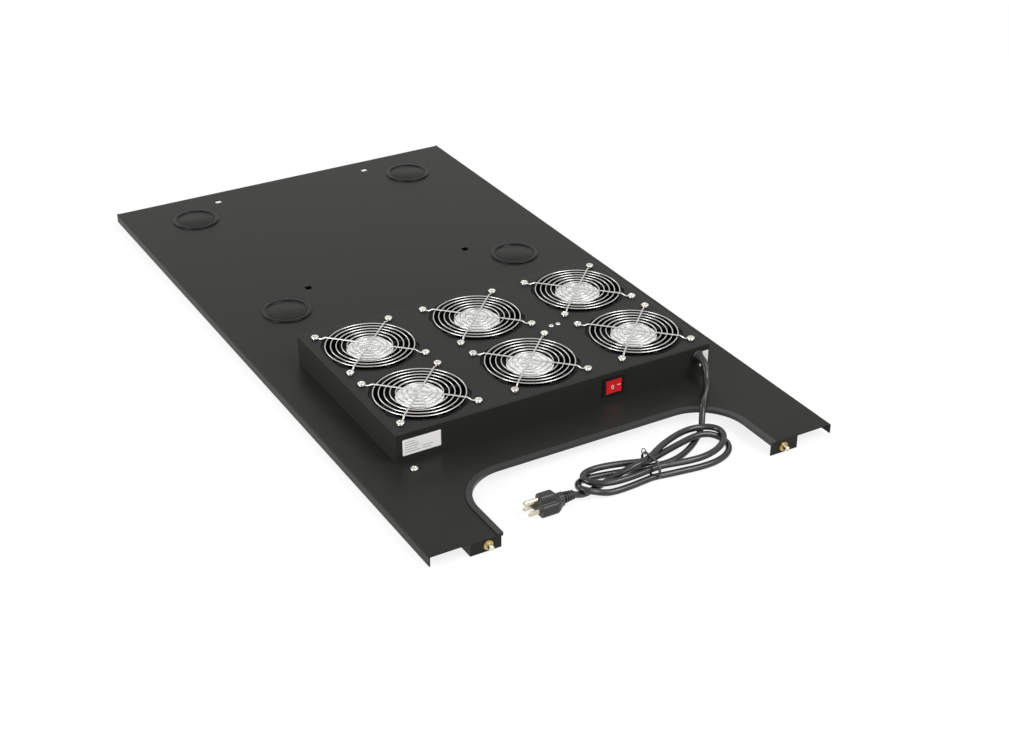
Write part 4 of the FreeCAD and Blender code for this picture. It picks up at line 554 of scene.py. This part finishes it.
class MainsCord:
    """The mains cord with its tied hank, and the moulded plug."""

    def build(self) -> None:
        """Makes the cord's one smooth line from the bushing to the plug."""
        points = [tuple(c * MM for c in point) for point in CORD_DROP + CORD_HANK]
        curve = bpy.data.curves.new("mains_cord", "CURVE")
        curve.dimensions = "3D"
        spline = curve.splines.new("NURBS")
        spline.points.add(len(points) - 1)
        for handle, point in zip(spline.points, points):
            handle.co = (*point, 1.0)
        spline.order_u = 3
        spline.use_endpoint_u = True
        spline.resolution_u = 8
        curve.bevel_depth = CORD_DIAMETER / 2
        curve.bevel_resolution = 6
        curve.use_fill_caps = True
        curve.materials.append(finish("extruded_black_pvc_jacket"))
        cord = bpy.data.objects.new("mains_cord", curve)
        bpy.context.scene.collection.objects.link(cord)
        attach(cord, TRAY)
        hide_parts("power_cord", "cord_hank", "plug_lead")
        bare = curve.copy()
        bare.bevel_depth = 0.0
        probe = bpy.data.objects.new("probe", bare)
        bpy.context.scene.collection.objects.link(probe)
        line = bpy.data.meshes.new_from_object(probe)
        place = np.empty(len(line.vertices) * 3)
        line.vertices.foreach_get("co", place)
        self.line = place.reshape(-1, 3)
        bpy.data.objects.remove(probe)
        bpy.data.meshes.remove(line)
        bpy.data.curves.remove(bare)
        plug = Plug().build()
        loop = self._tie_loop()
        self._relief()

    def _relief(self) -> None:
        """The bushing's tapered sleeve over the first stretch of the cord, its shallow rings fading out."""
        run = np.concatenate([[0.0], np.cumsum(np.linalg.norm(np.diff(self.line, axis=0), axis=1))])
        stations = np.linspace(0.5 * MM, 23 * MM, 46)
        path = np.stack([np.interp(stations, run, self.line[:, k]) for k in range(3)], axis=1)
        share = stations / stations[-1]
        radius = CORD_DIAMETER / 2 + (1.25 - 0.95 * share) * MM
        radius = radius + 0.16 * MM * np.cos(share * 2 * math.pi * 4.5) * (1 - share)
        make_piece("bushing_sleeve", [(tube(path, radius, 28), "moulded_black_nylon_bushing")], TRAY)

    @staticmethod
    def _tie_loop() -> bpy.types.Object:
        """The tie's twisted tail: a small wire eye that stands on the band behind the hank."""
        low, high = corners("hank_tie")
        spot = np.array([(low[0] + high[0]) / 2 - 3 * MM, high[1] - 7 * MM, high[2] - 1.0 * MM])
        turn = np.linspace(-0.42 * math.pi, 1.42 * math.pi, 30)
        eye = np.stack([2.6 * MM * np.cos(turn), 0.9 * MM * np.sin(turn),
                        2.9 * MM * (1 + np.sin(turn))], axis=1)
        foot = np.array([[1.2 * MM, -3.0 * MM, -1.6 * MM]])
        return make_piece("tie_eye", [(tube(np.concatenate([foot, eye]) + spot, 0.6 * MM, 8),
                                       "polished_black_switch_plastic")], TRAY)


@dataclass
class Plug:
    """The moulded plug: a broad foot for the blades, a narrower hump for the pin, and a ringed relief."""

    sections: int = 44
    corners_round: int = 72
    cord_height: float = 12 * MM
    body_length: float = 32 * MM
    heart_mm: float = 11.0
    blend: float = 14.0

    def build(self) -> bpy.types.Object:
        """Makes the body by growing each section out to the union of its two rounded forms.

        Returns:
            The plug's body.
        """
        low, high = corners("plug_body")
        middle_y, length = (low[1] + high[1]) / 2, self.body_length
        share = np.linspace(0, 1, self.sections)
        face = np.clip(share / 0.05, 0, 1) ** 0.5
        tail = np.clip((share - 0.62) / 0.38, 0, 1)
        hump_tail = np.clip((share - 0.5) / 0.32, 0, 1)
        ease = tail * tail * (3 - 2 * tail)
        hump_ease = hump_tail * hump_tail * (3 - 2 * hump_tail)
        foot_half = (12.5 - 0.5 * (1 - face)) - 5.4 * ease
        foot_low, foot_high = 4.6 * ease, 16.5 - 0.2 * ease
        hump_half = (7.4 - 0.5 * (1 - face)) - 1.6 * hump_ease
        hump_high = (27.0 - 0.5 * (1 - face)) - 7.5 * hump_ease
        angle = np.linspace(0, 2 * math.pi, self.corners_round, endpoint=False)[None, :, None]
        reach = np.linspace(0.5, 20, 260)[None, None, :]
        across, up = reach * np.cos(angle), self.heart_mm + reach * np.sin(angle)

        def rounded(half: np.ndarray, bottom: np.ndarray, top: np.ndarray, power: float) -> np.ndarray:
            """A superellipse's level at every sampled point, below 1 inside it."""
            half, bottom, top = (v[:, None, None] for v in (half, bottom, top))
            centre_up, half_up = (top + bottom) / 2, (top - bottom) / 2
            level = np.abs(across / half) ** power + np.abs((up - centre_up) / half_up) ** power
            return level ** (1 / power)

        foot = rounded(foot_half, foot_low, foot_high, 4.5)
        hump = rounded(hump_half, np.full(self.sections, 6.0), hump_high, 3.2)
        inside = -np.log(np.exp(-self.blend * foot) + np.exp(-self.blend * hump)) / self.blend < 1
        outermost = reach[0, 0, inside.shape[2] - 1 - np.argmax(inside[:, :, ::-1], axis=2)] * MM
        turn = angle[0, :, 0]
        x = low[0] + share * length
        body = np.stack([np.broadcast_to(x[:, None], outermost.shape), middle_y + outermost * np.cos(turn),
                         self.heart_mm * MM + outermost * np.sin(turn)], axis=2)
        body[..., 2] = np.maximum(body[..., 2], 0.02 * MM)
        count = self.corners_round
        faces = grid_faces(self.sections, count, False, True)
        faces += [tuple(range(count))[::-1], tuple(range((self.sections - 1) * count, self.sections * count))]
        rings = [(6.6, -1.0), (6.9, 0.4)]
        for index in range(4):
            start, root, crest = 0.8 + 3.5 * index, 5.4 - 0.2 * index, 7.0 - 0.45 * index
            rings += [(root, start), (root, start + 1.0), (crest - 0.25, start + 1.3), (crest, start + 1.7),
                      (crest, start + 2.9), (crest - 0.25, start + 3.3)]
        rings += [(4.7, 15.2), (4.2, 15.9)]
        relief, relief_faces = turned([(r * MM, h * MM) for r, h in rings], 40)
        relief = relief[:, [2, 0, 1]] + np.array([low[0] + length, middle_y, self.cord_height])
        return make_piece("moulded_plug", [((body.reshape(-1, 3), faces), "moulded_black_pvc_plug"),
                                           ((relief, relief_faces), "moulded_black_pvc_plug")],
                          TRAY, ["plug_body"], 50)


@dataclass
class Guard:
    """One welded wire finger guard, in metres."""

    ring: float = 113.7 * MM
    pitch: float = 13.95 * MM
    rings: int = 7
    wire: float = 1.7 * MM
    rib: float = 2.3 * MM
    lift: float = 4.2 * MM
    weld: float = 0.35 * MM
    eye: float = 3.2 * MM
    corner: float = 52.5 * MM * math.sqrt(2)
    crank: tuple[float, float] = (59.1 * MM, 66.65 * MM)

    def build(self, fan: str) -> None:
        """Makes the guard over one fan with round wire.

        Args:
            fan: the fan's name, such as "front_left".
        """
        node = "finger_guard_" + fan
        middle = centre("fan_frame_" + fan)
        base = corners("fan_plate")[1][2]
        turn = np.linspace(0, 2 * math.pi, 96, endpoint=False)
        parts = []
        ring_height = self.lift - (self.rib + self.wire) / 2 + self.weld
        for index in range(self.rings):
            radius = (self.ring - self.pitch * index) / 2
            path = np.stack([radius * np.cos(turn), radius * np.sin(turn),
                             np.full_like(turn, ring_height)], axis=1)
            parts.append(tube(path, self.wire / 2, 10, closed=True))
        reach = np.linspace(0, self.corner - self.eye, 80)
        fall = np.clip((reach - self.crank[0]) / (self.crank[1] - self.crank[0]), 0, 1)
        fall = fall * fall * (3 - 2 * fall)
        height = self.lift + (self.rib / 2 - self.lift) * fall
        along = np.concatenate([-reach[::-1], reach[1:]])
        height = np.concatenate([height[::-1], height[1:]])
        for angle in (math.pi / 4, 3 * math.pi / 4):
            path = np.stack([along * math.cos(angle), along * math.sin(angle), height], axis=1)
            parts.append(tube(path, self.rib / 2, 12))
        small = turn[::3]
        for angle in np.arange(4) * math.pi / 2 + math.pi / 4:
            spot = np.array([math.cos(angle), math.sin(angle)]) * self.corner
            path = np.stack([spot[0] + self.eye * np.cos(small), spot[1] + self.eye * np.sin(small),
                             np.full_like(small, self.rib / 2)], axis=1)
            parts.append(tube(path, self.rib / 2, 10, closed=True))
        part = shifted(join(parts), (middle[0], middle[1], base))
        make_piece("wire_guard_" + fan, [(part, "nickel_plated_drawn_wire")], TRAY, [node], 60)


@dataclass
class PanScrew:
    """A pan-head screw with a cross recess, in metres."""

    head: float = 10 * MM
    head_height: float = 2.8 * MM
    thread: float = 4 * MM
    arm: float = 2.9 * MM
    arm_half: float = 0.62 * MM
    depth: float = 1.5 * MM
    steps: int = 64

    def part(self, spot: Sequence[float], length: float, turn: float) -> Mesh:
        """One screw whose head stands on a spot.

        Args:
            spot: the middle of the head's underside.
            length: how far the shank reaches below it.
            turn: the recess's angle, in radians.

        Returns:
            The screw's points and faces.
        """
        full = self.head / 2
        inner = np.linspace(0.04, 0.66, 15) * full
        radius = np.concatenate([inner, np.array([0.76, 0.86, 0.94, 0.985, 1.0, 1.0, 0.97]) * full,
                                 [self.thread / 2, self.thread / 2, self.thread * 0.4]])
        dome = self.head_height - 0.55 * MM * (inner / full) ** 2 / 0.66 ** 2
        rest = np.array([0.76, 0.68, 0.56, 0.42, 0.28, 0.06, 0.0]) * self.head_height
        level = np.concatenate([dome, rest, [0.0, -length + 0.6 * MM, -length]])
        angle = np.linspace(0, 2 * math.pi, self.steps, endpoint=False)
        x, y = radius[:, None] * np.cos(angle), radius[:, None] * np.sin(angle)
        u, v = x * math.cos(turn) + y * math.sin(turn), y * math.cos(turn) - x * math.sin(turn)

        def slot(along: np.ndarray, beside: np.ndarray) -> np.ndarray:
            """How deep one arm of the recess is at each point, from 0 to 1."""
            wall = np.clip((self.arm_half + 0.28 * MM - np.abs(beside)) / (0.28 * MM), 0, 1)
            end = np.clip((self.arm - np.abs(along)) / (1.1 * MM), 0, 1)
            return wall * end

        dig = np.maximum(slot(u, v), slot(v, u)) * self.depth
        dig[len(inner):] = 0
        z = level[:, None] - dig
        points = np.stack([x, y, z], axis=2).reshape(-1, 3) + np.array(spot, float)
        faces = grid_faces(len(radius), self.steps, False, True)
        faces += [tuple(range(self.steps))[::-1],
                  tuple(range((len(radius) - 1) * self.steps, len(radius) * self.steps))]
        return points, faces


class Fasteners:
    """The screws that hold the guards, and the earth screw with its washer."""

    spacing: float = 52.5 * MM
    guard_wire: float = 2.3 * MM
    washer: float = 0.8 * MM

    def build(self) -> None:
        """Makes the screws, each recess at its own angle."""
        rng = np.random.default_rng(12)
        tip = corners("guard_screws")[0][2]
        seat = corners("fan_plate")[1][2] + self.guard_wire
        screws = []
        for fan in FANS:
            middle = centre("fan_frame_" + fan)
            for sx, sy in ((1, 1), (-1, 1), (-1, -1), (1, -1)):
                spot = (middle[0] + sx * self.spacing, middle[1] + sy * self.spacing, seat)
                screws.append(PanScrew().part(spot, seat - tip, rng.uniform(0, math.pi / 2)))
        make_piece("cross_recess_screws", [(join(screws), "zinc_plated_screw_steel")], TRAY,
                   ["guard_screws"], 32)
        low, high = corners("earth_screw")
        middle = (low + high) / 2
        panel_top = corners("roof_panel")[1][2]
        seat = panel_top + self.washer
        screw = PanScrew().part((middle[0], middle[1], seat), seat - low[2], 0.5)
        washer = self._tooth_washer((middle[0], middle[1], panel_top))
        make_piece("earth_screw_and_washer", [(screw, "zinc_plated_screw_steel"),
                                              (washer, "zinc_plated_screw_steel")],
                   TRAY, ["earth_screw"], 32)

    @staticmethod
    def _tooth_washer(spot: Sequence[float]) -> Mesh:
        """A thin washer whose outer teeth stand up and down in turn."""
        steps = 96
        angle = np.linspace(0, 2 * math.pi, steps, endpoint=False)
        tooth = 0.5 + 0.5 * np.cos(angle * 12)
        inner, outer = 2.2 * MM, (4.4 + 0.55 * tooth) * MM
        rise = 0.28 * MM * np.sign(np.cos(angle * 6)) * tooth
        rings = []
        for radius, z in ((np.full(steps, inner), np.full(steps, 0.05 * MM)),
                          (outer, np.maximum(0.02 * MM, 0.1 * MM + rise)),
                          (outer, np.maximum(0.5 * MM, 0.55 * MM + rise)),
                          (np.full(steps, inner), np.full(steps, 0.7 * MM))):
            rings.append(np.stack([radius * np.cos(angle), radius * np.sin(angle), z], axis=1))
        return np.concatenate(rings) + np.array(spot, float), grid_faces(len(rings), steps, True, True)


@dataclass
class LatchSpring:
    """One latch's coil spring, made at its length at rest; the real one shortens as its pin is pushed in."""

    wire: float = 0.8 * MM
    turns: int = 6
    travel: float = 7.0 * MM

    def build(self, side: str) -> None:
        """Makes the spring as a wire wound on an even helix.

        Args:
            side: left or right.
        """
        node = "latch_spring_" + side
        low, high = corners(node)
        share = np.linspace(0, 1, 30 * self.turns)
        length = high[1] - low[1] - self.wire
        coil = (high[0] - low[0] - self.wire) / 2
        turn = share * self.turns * 2 * math.pi
        middle = (low + high) / 2
        path = np.stack([middle[0] + coil * np.cos(turn), low[1] + self.wire / 2 + length * share,
                         middle[2] + coil * np.sin(turn)], axis=1)
        spring = make_piece("coil_spring_" + side, [(tube(path, self.wire / 2, 10), "tempered_spring_wire")],
                            TRAY, [node], 60)
        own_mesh(spring)


class HolePlugs:
    """The four blanking plugs: a flat disc inside a glossy bead, on a skirt under the sheet."""

    disc = [(0.1, 1.2), (26.6, 1.2), (27.1, 0.95), (27.3, 0.45)]
    bead = [(27.3, 0.45), (28.2, 0.4), (28.9, 1.4), (29.8, 2.15), (31.0, 2.4), (32.6, 2.35), (33.8, 1.9),
            (34.4, 1.1), (34.5, 0.02), (31.6, 0.02), (31.5, -1.3), (31.9, -2.0), (31.2, -6.2), (29.6, -6.2),
            (29.5, -0.8), (0.1, -0.8)]

    def build(self) -> None:
        """Makes the plugs where their nodes are."""
        top = corners("roof_panel")[1][2]
        for end in ("front", "rear"):
            for side in ("left", "right"):
                node = "hole_plug_%s_%s" % (end, side)
                middle = centre(node)
                spot = (middle[0], middle[1], top)
                parts = [(shifted(turned([(r * MM, z * MM) for r, z in outline], 128), spot), label)
                         for outline, label in ((self.disc, "moulded_grey_nylon_disc"),
                                                (self.bead, "moulded_black_nylon_cap"))]
                make_piece("blanking_plug_%s_%s" % (end, side), parts, TRAY, [node], 35)


class Films:
    """The foils on the motors, the films on the box front and the marks on the rocker."""

    def build(self) -> None:
        """Makes every film, bare but for plain rules, and the rocker's two marks."""
        self._motor_foils()
        self._front_films()
        self._rocker_marks()

    @staticmethod
    def _bar(middle: Sequence[float], half: tuple[float, float], along: Sequence[float],
             up: Sequence[float], thick: float = 0.03 * MM) -> Mesh:
        """A thin printed bar."""
        return rounded_plate(middle, half, min(half) * 0.5, thick, along, up)

    def _motor_foils(self) -> None:
        """A silver disc on each motor, with an embossed edge, a ring and rows of plain rules."""
        foils, rules = [], []
        low, high = corners("motor_labels")
        outline = [(0.1, 0.3), (8.4, 0.3), (8.6, 0.24), (8.8, 0.3), (22.4, 0.3), (22.6, 0.24), (22.8, 0.3),
                   (28.6, 0.3), (29.3, 0.27), (29.75, 0.15), (29.75, 0.0), (0.1, 0.0)]
        widths = (8.0, 11.0, 12.5, 11.5, 13.0, 10.0, 7.0)
        for number, fan in enumerate(FANS):
            middle = centre("fan_frame_" + fan)
            spot = np.array([middle[0], middle[1], low[2]])
            foils.append(shifted(turned([(r * MM, z * MM) for r, z in outline], 96), spot))
            tilt = math.radians(-24 + 9 * number)
            along, up = (math.cos(tilt), math.sin(tilt), 0), (-math.sin(tilt), math.cos(tilt), 0)
            for row, width in enumerate(widths):
                rise = (11.4 - 3.6 * row) * MM
                for side, share in ((-1, 0.9), (1, 0.72)):
                    offset = side * (1.2 + width * share / 2) * MM
                    place = spot + np.array(along) * offset + np.array(up) * rise
                    place[2] = high[2] - 0.01 * MM
                    rules.append(self._bar(place, (width * share / 2 * MM, 0.42 * MM), along, up))
        make_piece("motor_foils", [(join(foils), "silver_foil_label"), (join(rules), "printed_grey_rule")],
                   TRAY, ["motor_labels"], 30)

    def _front_films(self) -> None:
        """The blank rating film at the box's left and the plain film by the cord."""
        front = corners("fan_box")[0][1] - 0.01 * MM
        along, up = (1.0, 0, 0), (0, 0, 1.0)
        low, high = np.array([-215.6, 26.8]) * MM, np.array([-164.8, 48.4]) * MM
        middle = (low + high) / 2
        plate = rounded_plate((middle[0], front, middle[1]), tuple((high - low) / 2), 0.8 * MM, 0.14 * MM,
                              along, up)
        bars = []
        for row, width in enumerate((13, 17, 19, 16, 20)):
            bars.append(self._bar((low[0] + (3 + width / 2) * MM, front - 0.13 * MM,
                                   high[1] - (4.4 + 3.3 * row) * MM), (width / 2 * MM, 0.38 * MM), along, up))
        for row, width in enumerate((12, 14)):
            bars.append(self._bar((low[0] + (26 + width / 2) * MM, front - 0.13 * MM,
                                   low[1] + (4.0 + 3.3 * row) * MM), (width / 2 * MM, 0.38 * MM), along, up))
        make_piece("rating_film", [(plate, "white_label_film"), (join(bars), "printed_grey_rule")], TRAY,
                   (), 30)
        plain = rounded_plate((216.2 * MM, front, 38.5 * MM), (6.2 * MM, 10.5 * MM), 0.7 * MM, 0.14 * MM,
                              along, up)
        make_piece("plain_film", [(plain, "white_label_film")], TRAY, (), 30)

    @staticmethod
    def _rocker_marks() -> None:
        """The off and on marks, laid on the rocker's own face."""
        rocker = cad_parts["switch_rocker"]
        low, high = corners("switch_rocker")
        middle_z = (low[2] + high[2]) / 2

        def laid(x: float, z: float) -> tuple[float, float, float]:
            """The point of the rocker's face at a place, a hair proud."""
            hit, spot, _, _ = rocker.ray_cast(Vector((x, low[1] - 0.02, z)), Vector((0, 1, 0)))
            y = spot.y if hit else low[1]
            return (x, y - 0.12 * MM, z)

        turn = np.linspace(0, 2 * math.pi, 40, endpoint=False)
        off_x, off_z = 76.2 * MM, middle_z - 1.2 * MM
        ring = np.array([laid(off_x + 1.5 * MM * math.cos(a), off_z + 2.4 * MM * math.sin(a))
                         for a in turn])
        dash = np.array([laid(x * MM, middle_z + 0.8 * MM) for x in np.linspace(83.2, 86.8, 8)])
        make_piece("rocker_marks", [(tube(ring, 0.36 * MM, 8, closed=True), "printed_white_mark"),
                                    (tube(dash, 0.4 * MM, 8), "printed_white_mark")],
                   "rocker", (), 60)


def main() -> None:
    """Builds the studio, then the cord, then every other piece."""
    Studio().build()
    coat_nodes()
    MainsCord().build()
    for fan in FANS:
        Guard().build(fan)
    Fasteners().build()
    for side in ("left", "right"):
        LatchSpring().build(side)
    HolePlugs().build()
    Films().build()


if __name__ == "__main__":
    main()
